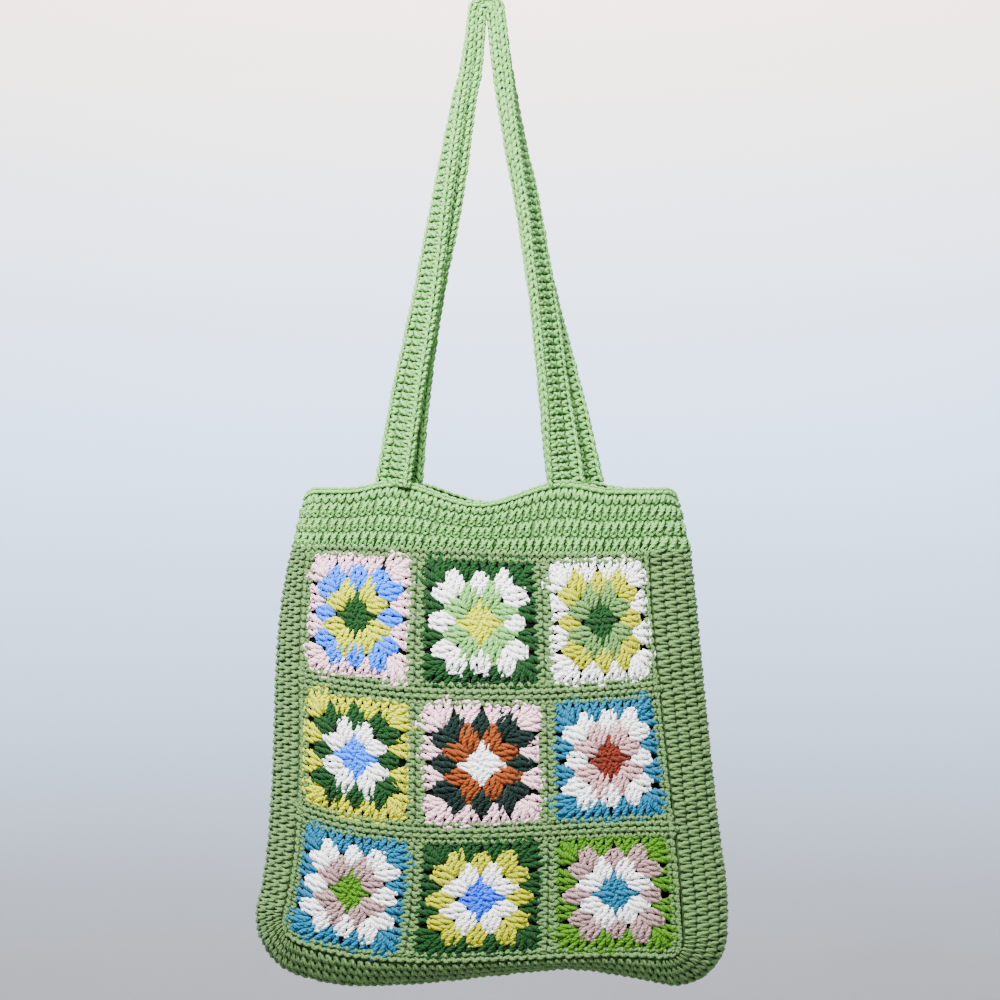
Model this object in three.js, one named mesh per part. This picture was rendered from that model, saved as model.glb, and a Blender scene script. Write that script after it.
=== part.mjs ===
// A crochet shoulder bag, hanging by its two straps.
// Nine granny squares are joined by a green grid into the front. A gusset runs round
// the sides and the bottom, and a band of rows closes the mouth. Each strap is worked
// lengthwise, stands flat on the rim and turns a quarter on its way up to the hook.
// Millimetres. +X is to the right, +Y back towards the wall, +Z up. The origin is the
// point under both straps where the hook carries the bag.

import * as THREE from 'three';

// Crochet cloth
const clothThickness = 4.2;
const gap = 0.35; // left between pieces that touch

// Granny squares and the green rows between them
const squaresAcross = 3;
const squaresDown = 3;
const squareWidth = 79.6;
const squareHeight = 87.5;
const joinWidth = 10.4; // green between two squares side by side
const joinHeight = 14.2; // green between two squares one above the other
const sideBorder = 7.6; // green from an outer square to the side seam
const footBorder = 8.2; // green from a bottom square to the bottom seam

// Body
const bandHeight = 45; // rim to the top of the front panel
const cornerRound = 18; // of the front seam at its two bottom corners
const backShift = 14; // the back panel hangs this far to the right
const mouthHalfDepth = 14; // middle of the cloth to each side seam, at the band's foot
const seamHalfDepth = 19; // the same, from the first join down
const frontBelly = 8; // how far the front swells past its seams
const backBelly = 4;
const bellyAtTop = 0.4; // share of the belly that is left at the band and at the bottom
const gussetSwell = 26; // how far the gusset stands out from its two seams

// Rim
const rimDrop = 358; // hook down to the rim
const rimWidth = 279;
const rimCentre = 3.3;
const rimHalfDepth = 11.5;
const rimEndHalfDepth = 6; // where the front and back turn into the ends
const rimEnd = 8; // length of each rounded end
const strapPull = 5.5; // the rim stands higher at each strap
const mouthSag = 10.5; // and sags between them
const pullReach = 34; // how far outside a strap the rim is still pulled up

// Straps
const strapWidth = 26;
const strapThickness = 5.2;
const strapEdge = 1.6; // rounding of a strap's long edges
const hookRadius = 1.6;
const frontLeftFoot = -69.8; // where each strap stands on the rim, from the hook
const frontRightFoot = 59.4;
const backLeftFoot = -62.5;
const backRightFoot = 73.8;

// Sizes that follow from these
const pitchAcross = squareWidth + joinWidth;
const pitchDown = squareHeight + joinHeight;
const panelWidth = squaresAcross * pitchAcross;
const panelHeight = squaresDown * pitchDown;
const panelTop = rimDrop + bandHeight;
const FRONT = -1;
const BACK = 1;

// Where the green joins cross, as seen from the front: shares of the panel's width from
// its middle, and of its height from the band down.
const joints = [
  { row: 0, column: 0, across: -0.498, down: -0.012 },
  { row: 0, column: 1, across: -0.186, down: -0.007 },
  { row: 0, column: 2, across: 0.147, down: 0.005 },
  { row: 0, column: 3, across: 0.451, down: 0 },
  { row: 1, column: 0, across: -0.517, down: 0.308 },
  { row: 1, column: 1, across: -0.195, down: 0.346 },
  { row: 1, column: 2, across: 0.165, down: 0.349 },
  { row: 1, column: 3, across: 0.477, down: 0.33 },
  { row: 2, column: 0, across: -0.523, down: 0.63 },
  { row: 2, column: 1, across: -0.195, down: 0.685 },
  { row: 2, column: 2, across: 0.171, down: 0.68 },
  { row: 2, column: 3, across: 0.52, down: 0.672 },
  { row: 3, column: 0, across: -0.581, down: 0.94 },
  { row: 3, column: 1, across: -0.227, down: 1.007 },
  { row: 3, column: 2, across: 0.169, down: 0.998 },
  { row: 3, column: 3, across: 0.547, down: 1.007 },
];

// The gusset's swell, as a share of the full one. along counts squares from the band down
// the left side, across the bottom and up the right side.
const swells = [
  { along: 0, share: 0.64 },
  { along: 0.5, share: 0.84 },
  { along: 1, share: 0.94 },
  { along: 2, share: 1.03 },
  { along: 2.6, share: 1.02 },
  { along: 3, share: 1.03 },
  { along: 3.4, share: 0.98 },
  { along: 4, share: 0.68 },
  { along: 4.6, share: 0.46 },
  { along: 5.1, share: 0.38 },
  { along: 5.5, share: 0.62 },
  { along: 6, share: 0.92 },
  { along: 6.5, share: 1.06 },
  { along: 7, share: 0.99 },
  { along: 8, share: 1.02 },
  { along: 8.5, share: 1.02 },
  { along: 9, share: 0.92 },
];

// Each strap leg from the hook (down 0) to the rim (down 1). across and away are shares
// of the foot's own place, and turn is how far the strap has turned edge-on, in degrees.
const frontLeftLeg = [
  { down: 0, across: 0, away: 0, turn: 90 },
  { down: 0.12, across: 0.095, away: 0.1, turn: 83 },
  { down: 0.18, across: 0.17, away: 0.16, turn: 78 },
  { down: 0.4, across: 0.393, away: 0.33, turn: 66 },
  { down: 0.61, across: 0.592, away: 0.55, turn: 51 },
  { down: 0.82, across: 0.827, away: 0.78, turn: 38 },
  { down: 1, across: 1, away: 1, turn: 26 },
];
const frontRightLeg = [
  { down: 0, across: 0, away: 0, turn: 90 },
  { down: 0.12, across: 0.109, away: 0.1, turn: 86 },
  { down: 0.18, across: 0.171, away: 0.18, turn: 82 },
  { down: 0.29, across: 0.294, away: 0.37, turn: 74 },
  { down: 0.4, across: 0.437, away: 0.53, turn: 66 },
  { down: 0.61, across: 0.654, away: 0.69, turn: 54 },
  { down: 0.82, across: 0.831, away: 0.9, turn: 42 },
  { down: 1, across: 1, away: 1, turn: 8 },
];
const backLeftLeg = [
  { down: 0, across: 0, away: 0, turn: 90 },
  { down: 0.12, across: 0.067, away: 0.1, turn: 85 },
  { down: 0.18, across: 0.149, away: 0.16, turn: 80 },
  { down: 0.4, across: 0.37, away: 0.4, turn: 68 },
  { down: 0.61, across: 0.66, away: 0.62, turn: 52 },
  { down: 0.82, across: 0.87, away: 0.82, turn: 38 },
  { down: 1, across: 1, away: 1, turn: 12 },
];
const backRightLeg = [
  { down: 0, across: 0, away: 0, turn: 90 },
  { down: 0.12, across: 0.065, away: 0.1, turn: 88 },
  { down: 0.18, across: 0.115, away: 0.24, turn: 84 },
  { down: 0.29, across: 0.226, away: 0.42, turn: 77 },
  { down: 0.4, across: 0.36, away: 0.56, turn: 66 },
  { down: 0.61, across: 0.562, away: 0.74, turn: 50 },
  { down: 0.82, across: 0.81, away: 0.92, turn: 30 },
  { down: 1, across: 1, away: 1, turn: 8 },
];

// A smooth curve through the rows of a table, from one named column to another.
function through(table, from, to) {
  const last = table.length - 1;
  const slope = (i) => {
    const a = table[Math.max(i - 1, 0)];
    const b = table[Math.min(i + 1, last)];
    return (b[to] - a[to]) / (b[from] - a[from]);
  };
  return (value) => {
    let i = 0;
    while (i < last - 1 && value > table[i + 1][from]) i += 1;
    const [a, b] = [table[i], table[i + 1]];
    const step = b[from] - a[from];
    const t = THREE.MathUtils.clamp((value - a[from]) / step, 0, 1);
    const rise = t * t * (3 - 2 * t);
    const leave = t * (1 - t) * (1 - t) * step * slope(i);
    const arrive = t * t * (t - 1) * step * slope(i + 1);
    return a[to] + (b[to] - a[to]) * rise + leave + arrive;
  };
}

// The share of each join line 0 to 3 in a cubic through all four.
function cubicShares(t) {
  return [0, 1, 2, 3].map((i) =>
    [0, 1, 2, 3].reduce((share, j) => (i === j ? share : (share * (t - j)) / (i - j)), 1),
  );
}

// The panel's cloth is measured in squares: u across and v down, each from 0 to 3. Near
// the edges this rounds the two bottom corners, and tells which way the cloth turns out
// into the gusset and how strongly, from 0 inside to 1 on the seam.
function atEdge(u, v) {
  const reach = cornerRound / pitchAcross;
  const right = squaresAcross - reach;
  const low = squaresDown - reach;
  const x = u < reach ? (u - reach) / reach : Math.max(u - right, 0) / reach;
  const y = Math.max(v - low, 0) / reach;
  const wide = x * Math.sqrt(1 - (y * y) / 2);
  const deep = y * Math.sqrt(1 - (x * x) / 2);
  const turned = Math.hypot(wide, deep);
  return {
    u: THREE.MathUtils.clamp(u, reach, right) + wide * reach,
    v: Math.min(v, low) + deep * reach,
    turned,
    outward: turned > 0 ? new THREE.Vector3(wide, 0, -deep).divideScalar(turned) : new THREE.Vector3(),
  };
}

const bellyAcross = (u) => 1 - Math.abs((2 * u) / squaresAcross - 1) ** 2.5;
const bellyDown = (v) => bellyAtTop + (1 - bellyAtTop) * Math.sin((Math.PI * v) / squaresDown);

// A point of the front or back panel, and the way out of the cloth there.
function panelPoint(u, v, side) {
  const edge = atEdge(u, v);
  const [ofColumn, ofRow] = [cubicShares(edge.u), cubicShares(edge.v)];
  let [across, down] = [0, 0];
  for (const joint of joints) {
    const share = ofColumn[joint.column] * ofRow[joint.row];
    across += share * joint.across;
    down += share * joint.down;
  }
  const opened = THREE.MathUtils.smoothstep(edge.v, 0, 1);
  const seam = THREE.MathUtils.lerp(mouthHalfDepth, seamHalfDepth, opened);
  const belly = (side === FRONT ? frontBelly : backBelly) * bellyAcross(edge.u) * bellyDown(edge.v);
  const at = new THREE.Vector3(
    across * panelWidth + (side === BACK ? backShift : 0),
    side * (seam + belly),
    -panelTop - down * panelHeight,
  );
  const out = edge.outward.multiplyScalar(edge.turned ** 2);
  out.y = side;
  return { at, out: out.normalize() };
}

// A point of the cloth that bulges from a front seam point to a back one: round goes
// from 0 at the front to 1 at the back.
function bulge(front, back, outward, swell, round) {
  const at = front.clone().lerp(back, round);
  at.addScaledVector(outward, swell * Math.sin(Math.PI * round));
  const angle = (Math.PI / 4) * (1 + 2 * round);
  const out = outward.clone().multiplyScalar(Math.sin(angle));
  out.y = -Math.cos(angle);
  return { at, out };
}

// Places along the seam: down the left side, along the bottom, up the right side.
function seamPlace(along) {
  if (along <= squaresDown) return [0, along];
  if (along <= squaresDown + squaresAcross) return [along - squaresDown, squaresDown];
  return [squaresAcross, 2 * squaresDown + squaresAcross - along];
}

const swellShare = through(swells, 'along', 'share');

function gussetPoint(along, round) {
  const [u, v] = seamPlace(along);
  const front = panelPoint(u, v, FRONT).at;
  const back = panelPoint(u, v, BACK).at;
  return bulge(front, back, atEdge(u, v).outward, gussetSwell * swellShare(along), round);
}

// The rim's height at a place across, pulled up by the straps and sagging between them.
function rimHeight(x, side) {
  const [left, right] = side === FRONT ? [frontLeftFoot, frontRightFoot] : [backLeftFoot, backRightFoot];
  const outside = Math.max(left - x, x - right, 0);
  if (outside > 0) {
    return -rimDrop + strapPull * (1 - THREE.MathUtils.smoothstep(outside, 0, pullReach));
  }
  const t = (x - left) / (right - left);
  return -rimDrop + strapPull - (strapPull + mouthSag) * Math.sin(Math.PI * t) ** 2;
}

// How far the rim's outer face is from the middle of the bag, at a place across.
const rimHalfLength = rimWidth / 2 - rimEnd;
function rimDepth(x) {
  const u = (squaresAcross * (1 + (x - rimCentre) / rimHalfLength)) / 2;
  return rimEndHalfDepth + (rimHalfDepth - rimEndHalfDepth) * bellyAcross(u);
}

function rimPoint(u, side) {
  const x = rimCentre + THREE.MathUtils.lerp(-rimHalfLength, rimHalfLength, u / squaresAcross);
  return new THREE.Vector3(x, side * rimDepth(x), rimHeight(x, side));
}

// The band runs once round the mouth: front, right end, back, left end. turn counts
// squares along the front and back, and each end is one more.
function bandPoint(turn, up) {
  const stretch = squaresAcross + 1;
  const side = turn < stretch ? FRONT : BACK;
  const place = turn % stretch;
  if (place <= squaresAcross) {
    const u = side === FRONT ? place : squaresAcross - place;
    const foot = panelPoint(u, 0, side);
    return { at: foot.at.lerp(rimPoint(u, side), up), out: foot.out };
  }
  const round = side === FRONT ? place - squaresAcross : stretch - place;
  const [along, u] = side === FRONT ? [2 * squaresDown + squaresAcross, squaresAcross] : [0, 0];
  const foot = gussetPoint(along, round);
  const outward = atEdge(u, 0).outward;
  const rim = bulge(rimPoint(u, FRONT), rimPoint(u, BACK), outward, rimEnd, round);
  return { at: foot.at.lerp(rim.at, up), out: foot.out };
}

// A closed wall over a grid of places. point gives the outer face, and the way out that
// the cloth's thickness is taken from. keep says which cells are cloth, and an edge wall
// stands wherever a cell has no neighbour.
function clothSolid(across, down, point, { round = false, keep = () => true } = {}) {
  const columns = round ? across.length : across.length - 1;
  const rows = down.length - 1;
  const positions = [];
  across.forEach((a) =>
    down.forEach((b) => {
      const { at, out } = point(a, b);
      const inner = at.clone().addScaledVector(out, -clothThickness);
      positions.push(...at.toArray(), ...inner.toArray());
    }),
  );
  const corner = (i, j, layer) => 2 * ((i % across.length) * down.length + j) + layer;
  const has = (i, j) => {
    const column = round ? (i + columns) % columns : i;
    return column >= 0 && column < columns && j >= 0 && j < rows && keep(column, j);
  };
  const faces = [];
  const quad = (a, b, c, d) => faces.push(a, b, c, a, c, d);
  // Both sides of a gap split their edge walls the same way, so that they stay clear.
  const edgeWall = (i, j, m, n, forward) => {
    const [a, b, c, d] = [corner(i, j, 0), corner(i, j, 1), corner(m, n, 1), corner(m, n, 0)];
    quad(a, forward ? b : d, c, forward ? d : b);
  };
  for (let i = 0; i < columns; i += 1) {
    for (let j = 0; j < rows; j += 1) {
      if (!has(i, j)) continue;
      quad(corner(i, j, 0), corner(i, j + 1, 0), corner(i + 1, j + 1, 0), corner(i + 1, j, 0));
      quad(corner(i, j, 1), corner(i + 1, j, 1), corner(i + 1, j + 1, 1), corner(i, j + 1, 1));
      if (!has(i - 1, j)) edgeWall(i, j, i, j + 1, true);
      if (!has(i + 1, j)) edgeWall(i + 1, j, i + 1, j + 1, false);
      if (!has(i, j - 1)) edgeWall(i, j, i + 1, j, false);
      if (!has(i, j + 1)) edgeWall(i, j + 1, i + 1, j + 1, true);
    }
  }
  return facingOut(positions, faces);
}

// A closed mesh, turned inside out if its faces point in.
function facingOut(positions, faces) {
  const corners = [new THREE.Vector3(), new THREE.Vector3(), new THREE.Vector3()];
  let volume = 0;
  for (let i = 0; i < faces.length; i += 3) {
    corners.forEach((corner, k) => corner.fromArray(positions, 3 * faces[i + k]));
    volume += corners[0].dot(corners[1].cross(corners[2]));
  }
  const geometry = new THREE.BufferGeometry();
  geometry.setAttribute('position', new THREE.Float32BufferAttribute(positions, 3));
  geometry.setIndex(volume > 0 ? faces : faces.reverse());
  geometry.computeVertexNormals();
  return geometry;
}

// count equal steps from one value to another, both ends included.
const steps = (from, to, count) =>
  Array.from({ length: count + 1 }, (_, i) => THREE.MathUtils.lerp(from, to, i / count));

// The edges of the square in a column or row of the grid, in squares.
function windowEdges(index, count, startBorder, join, endBorder, pitch) {
  const before = index === 0 ? startBorder : join / 2;
  const after = index === count - 1 ? endBorder : join / 2;
  return [index + before / pitch, index + 1 - after / pitch];
}
const columnEdges = (c) => windowEdges(c, squaresAcross, sideBorder, joinWidth, sideBorder, pitchAcross);
const rowEdges = (r) => windowEdges(r, squaresDown, joinHeight / 2, joinHeight, footBorder, pitchDown);

const stepsPerSquare = 4;
const cornerSteps = 3;

// Cell lines of the grid along one direction, and for each cell the square it crosses.
function gridLines(count, edges, from, to) {
  const lines = [from];
  const crosses = [];
  for (let index = 0; index < count; index += 1) {
    const [start, end] = edges(index);
    lines.push(...steps(start, end, stepsPerSquare));
    crosses.push(null, ...Array(stepsPerSquare).fill(index));
  }
  lines.push(to);
  crosses.push(null);
  return { lines, crosses };
}

const sheet = (colour) => new THREE.MeshStandardMaterial({ color: colour, roughness: 0.9, metalness: 0 });
const green = sheet('#90b67f');
const bag = new THREE.Group();
function add(name, geometry, material) {
  const mesh = new THREE.Mesh(geometry, material);
  mesh.name = name;
  bag.add(mesh);
}

const halfGapAcross = gap / 2 / pitchAcross;
const halfGapDown = gap / 2 / pitchDown;
const acrossGrid = gridLines(squaresAcross, columnEdges, halfGapAcross, squaresAcross - halfGapAcross);
const downGrid = gridLines(squaresDown, rowEdges, halfGapDown, squaresDown - halfGapDown);

// Green grid with a window for each square
add(
  'green_grid',
  clothSolid(acrossGrid.lines, downGrid.lines, (u, v) => panelPoint(u, v, FRONT), {
    keep: (i, j) => acrossGrid.crosses[i] === null || downGrid.crosses[j] === null,
  }),
  green,
);

// The squares, each in the colour of its outer round
const squares = [
  { name: 'square_top_left', row: 0, column: 0, colour: '#dcc4bd' },
  { name: 'square_top_middle', row: 0, column: 1, colour: '#2f6638' },
  { name: 'square_top_right', row: 0, column: 2, colour: '#e9e6dc' },
  { name: 'square_middle_left', row: 1, column: 0, colour: '#d3d431' },
  { name: 'square_middle_middle', row: 1, column: 1, colour: '#dcc1bb' },
  { name: 'square_middle_right', row: 1, column: 2, colour: '#4a9db8' },
  { name: 'square_bottom_left', row: 2, column: 0, colour: '#55a5bf' },
  { name: 'square_bottom_middle', row: 2, column: 1, colour: '#2b6136' },
  { name: 'square_bottom_right', row: 2, column: 2, colour: '#82b318' },
];
for (const square of squares) {
  const [left, right] = columnEdges(square.column);
  const [top, bottom] = rowEdges(square.row);
  const acrossLines = steps(left, right, stepsPerSquare);
  const downLines = steps(top, bottom, stepsPerSquare);
  acrossLines[0] += 2 * halfGapAcross;
  acrossLines[stepsPerSquare] -= 2 * halfGapAcross;
  downLines[0] += 2 * halfGapDown;
  downLines[stepsPerSquare] -= 2 * halfGapDown;
  const solid = clothSolid(acrossLines, downLines, (u, v) => panelPoint(u, v, FRONT));
  add(square.name, solid, sheet(square.colour));
}

// Back panel, and the gusset between its seam and the front one
const backAcross = acrossGrid.lines;
const backDown = downGrid.lines;
add('back_panel', clothSolid(backAcross, backDown, (u, v) => panelPoint(u, v, BACK)), green);

const gussetStepsRound = 6;
const alongSeam = [
  ...backDown,
  ...backAcross.map((u) => squaresDown + u),
  ...backDown.map((v) => 2 * squaresDown + squaresAcross - v).reverse(),
];
const seamGap = gap / 2 / (2 * seamHalfDepth + gussetSwell);
const roundGusset = steps(seamGap, 1 - seamGap, gussetStepsRound);
add('gusset', clothSolid(alongSeam, roundGusset, gussetPoint), green);

// Band round the mouth
const bandSteps = 4;
const bandEndSteps = 6;
const upBand = steps(gap / 2 / bandHeight, 1, bandSteps);
const roundBand = [FRONT, BACK].flatMap((side) => {
  const start = side === FRONT ? 0 : squaresAcross + 1;
  const flat = backAcross.map((u) => (side === FRONT ? u : squaresAcross - u));
  const end = steps(start + squaresAcross, start + squaresAcross + 1, bandEndSteps);
  return [...(side === FRONT ? flat : flat.reverse()).map((place) => start + place), ...end.slice(1, -1)];
});
add('mouth_band', clothSolid(roundBand, upBand, bandPoint, { round: true }), green);

// A strap's centre line with its width and thickness directions, from the left foot up,
// over the hook and down to the right foot.
const legSteps = 22;
const archSteps = 8;
const strapFaceSteps = 4;
function strapStations({ archRadius, left, right, side }) {
  const top = -hookRadius;
  const leg = ({ table, foot }, sign) => {
    const [across, away, turn] = ['across', 'away', 'turn'].map((column) => through(table, 'down', column));
    const rim = rimHeight(foot, side);
    const start = sign * archRadius;
    const footDepth = side * (rimDepth(foot) - clothThickness / 2);
    return (down) => {
      const angle = THREE.MathUtils.degToRad(turn(down));
      return {
        at: new THREE.Vector3(
          THREE.MathUtils.lerp(start, foot, across(down)),
          footDepth * away(down),
          THREE.MathUtils.lerp(top, rim, down),
        ),
        inward: new THREE.Vector3(-sign * Math.cos(angle), -Math.sin(angle), 0),
      };
    };
  };
  const arch = steps(Math.PI, 0, archSteps).map((angle) => ({
    at: new THREE.Vector3(archRadius * Math.cos(angle), 0, top + archRadius * Math.sin(angle)),
    inward: new THREE.Vector3(0, -1, 0),
  }));
  return [
    ...steps(1, 0, legSteps).map(leg(left, -1)),
    ...arch.slice(1, -1),
    ...steps(0, 1, legSteps).map(leg(right, 1)),
  ];
}

// The strap itself: a flat band with softened edges, its two feet cut to the rim.
function strapSolid(strap) {
  const stations = strapStations(strap);
  const [halfWidth, halfThick] = [strapWidth / 2, strapThickness / 2];
  const face = steps(strapEdge - halfWidth, halfWidth - strapEdge, strapFaceSteps);
  const halfSection = [
    [-halfWidth, halfThick - strapEdge],
    ...face.map((w) => [w, halfThick]),
    [halfWidth, halfThick - strapEdge],
  ];
  const section = [...halfSection.map(([w, t]) => [w, -t]), ...halfSection.reverse()];
  const last = stations.length - 1;
  const positions = [];
  stations.forEach((station, i) => {
    const before = stations[Math.max(i - 1, 0)].at;
    const after = stations[Math.min(i + 1, last)].at;
    const tangent = after.clone().sub(before).normalize();
    const wide = station.inward.clone().addScaledVector(tangent, -station.inward.dot(tangent)).normalize();
    const thick = tangent.clone().cross(wide);
    for (const [w, t] of section) {
      const point = station.at.clone().addScaledVector(wide, w).addScaledVector(thick, t);
      if (i === 0 || i === last) point.z = rimHeight(point.x, strap.side) + gap;
      positions.push(...point.toArray());
    }
  });
  const size = section.length;
  const faces = [];
  for (let i = 0; i < last; i += 1) {
    for (let k = 0; k < size; k += 1) {
      const next = (k + 1) % size;
      const [a, b, c, d] = [i * size + k, i * size + next, (i + 1) * size + next, (i + 1) * size + k];
      faces.push(a, b, c, a, c, d);
    }
  }
  for (let k = 0; k < size / 2 - 1; k += 1) {
    const [a, b, c, d] = [k, k + 1, size - 2 - k, size - 1 - k];
    faces.push(a, c, b, a, d, c);
    const end = last * size;
    faces.push(end + a, end + b, end + c, end + a, end + c, end + d);
  }
  return facingOut(positions, faces);
}

const innerArch = hookRadius + strapThickness / 2;
const frontStrap = {
  archRadius: innerArch + strapThickness + gap,
  left: { table: frontLeftLeg, foot: frontLeftFoot },
  right: { table: frontRightLeg, foot: frontRightFoot },
  side: FRONT,
};
const backStrap = {
  archRadius: innerArch,
  left: { table: backLeftLeg, foot: backLeftFoot },
  right: { table: backRightLeg, foot: backRightFoot },
  side: BACK,
};
add('front_strap', strapSolid(frontStrap), green);
add('back_strap', strapSolid(backStrap), green);

export default bag;
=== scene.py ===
"""A crochet shoulder bag of granny squares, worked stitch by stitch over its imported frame.

Lengths are millimetres until a mesh is written, and metres from then on. +X is to the
right, +Y back, +Z up, and the hook that carries the bag is the origin.

Each piece of crochet is planned on flat cloth, as a pattern is charted: x runs along the
row, y from row to row and z out of the cloth. Geometry Nodes set a small mesh of yarn at
each stitch, and the result is then bent onto the bag's curved cloth.
"""

import logging
import math
from collections.abc import Callable, Mapping, Sequence
from dataclasses import dataclass, field
from enum import Enum
from typing import NamedTuple

import bmesh
import bpy
import numpy as np
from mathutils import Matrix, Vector


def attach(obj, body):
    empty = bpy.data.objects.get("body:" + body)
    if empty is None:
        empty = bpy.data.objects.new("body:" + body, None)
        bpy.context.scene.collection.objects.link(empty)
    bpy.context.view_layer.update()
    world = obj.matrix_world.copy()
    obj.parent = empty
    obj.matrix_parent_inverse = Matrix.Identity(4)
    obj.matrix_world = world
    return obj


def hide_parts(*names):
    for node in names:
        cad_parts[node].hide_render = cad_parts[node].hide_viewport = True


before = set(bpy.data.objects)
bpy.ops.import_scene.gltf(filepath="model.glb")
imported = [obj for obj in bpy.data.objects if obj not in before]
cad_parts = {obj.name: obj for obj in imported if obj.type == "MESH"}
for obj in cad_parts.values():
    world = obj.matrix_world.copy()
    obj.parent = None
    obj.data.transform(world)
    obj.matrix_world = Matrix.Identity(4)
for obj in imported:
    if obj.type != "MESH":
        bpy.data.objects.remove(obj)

LOG = logging.getLogger("crochet_bag")
MM = 0.001
MERGE_REACH = 0.01 * MM
TINY = 1e-9
PIECE_GAP = 0.35
HALF_STITCH = 0.5
YARN_MAP = "yarn"
FRONT = -1
BACK = 1
Points = np.ndarray
Placer = Callable[[Points], Points]


# Shared curves


def smoothstep(value: Points, low: float, high: float) -> Points:
    """Rise smoothly from 0 at low to 1 at high.

    Args:
        value: Where to read the curve.
        low: Where the rise starts.
        high: Where it ends.

    Returns:
        The height of the curve at each value.
    """
    t = np.clip((value - low) / (high - low), 0, 1)
    return t * t * (3 - 2 * t)


def through(rows: Sequence[NamedTuple], source: str, target: str) -> Callable[[Points], Points]:
    """Draw a smooth curve through the rows of a table.

    Args:
        rows: The table, with rising values in its source column.
        source: The column that the curve is read by.
        target: The column that it gives.

    Returns:
        A function from source values to target values.
    """
    x = np.array([getattr(row, source) for row in rows])
    y = np.array([getattr(row, target) for row in rows])
    last = len(rows) - 1
    before = np.maximum(np.arange(last + 1) - 1, 0)
    after = np.minimum(np.arange(last + 1) + 1, last)
    slope = (y[after] - y[before]) / (x[after] - x[before])

    def curve(value: Points) -> Points:
        """Read the curve at each value."""
        i = np.clip(np.searchsorted(x, value, side="left") - 1, 0, last - 1)
        step = x[i + 1] - x[i]
        t = np.clip((value - x[i]) / step, 0, 1)
        rise = t * t * (3 - 2 * t)
        leave = t * (1 - t) ** 2 * step * slope[i]
        arrive = t * t * (t - 1) * step * slope[i + 1]
        return y[i] + (y[i + 1] - y[i]) * rise + leave + arrive

    return curve


def unit(vectors: Points) -> Points:
    """Scale each vector to a length of one."""
    return vectors / np.linalg.norm(vectors, axis=-1, keepdims=True)


def lengths_along(points: Points) -> Points:
    """Measure the way along a line of points, from 0 at its first point."""
    steps = np.linalg.norm(np.diff(points, axis=0), axis=1)
    return np.concatenate([[0], np.cumsum(steps)])


# The bag's shape, as its frame has it


class Joint(NamedTuple):
    """Where two green joins cross, as shares of the panel's width and height."""

    row: int
    column: int
    across: float
    down: float


class Swell(NamedTuple):
    """The gusset's swell at a place along the seam, as a share of the full one."""

    along: float
    share: float


class LegPlace(NamedTuple):
    """A place on a strap leg, from the hook (down 0) to the rim (down 1)."""

    down: float
    across: float
    away: float
    turn: float


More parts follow.
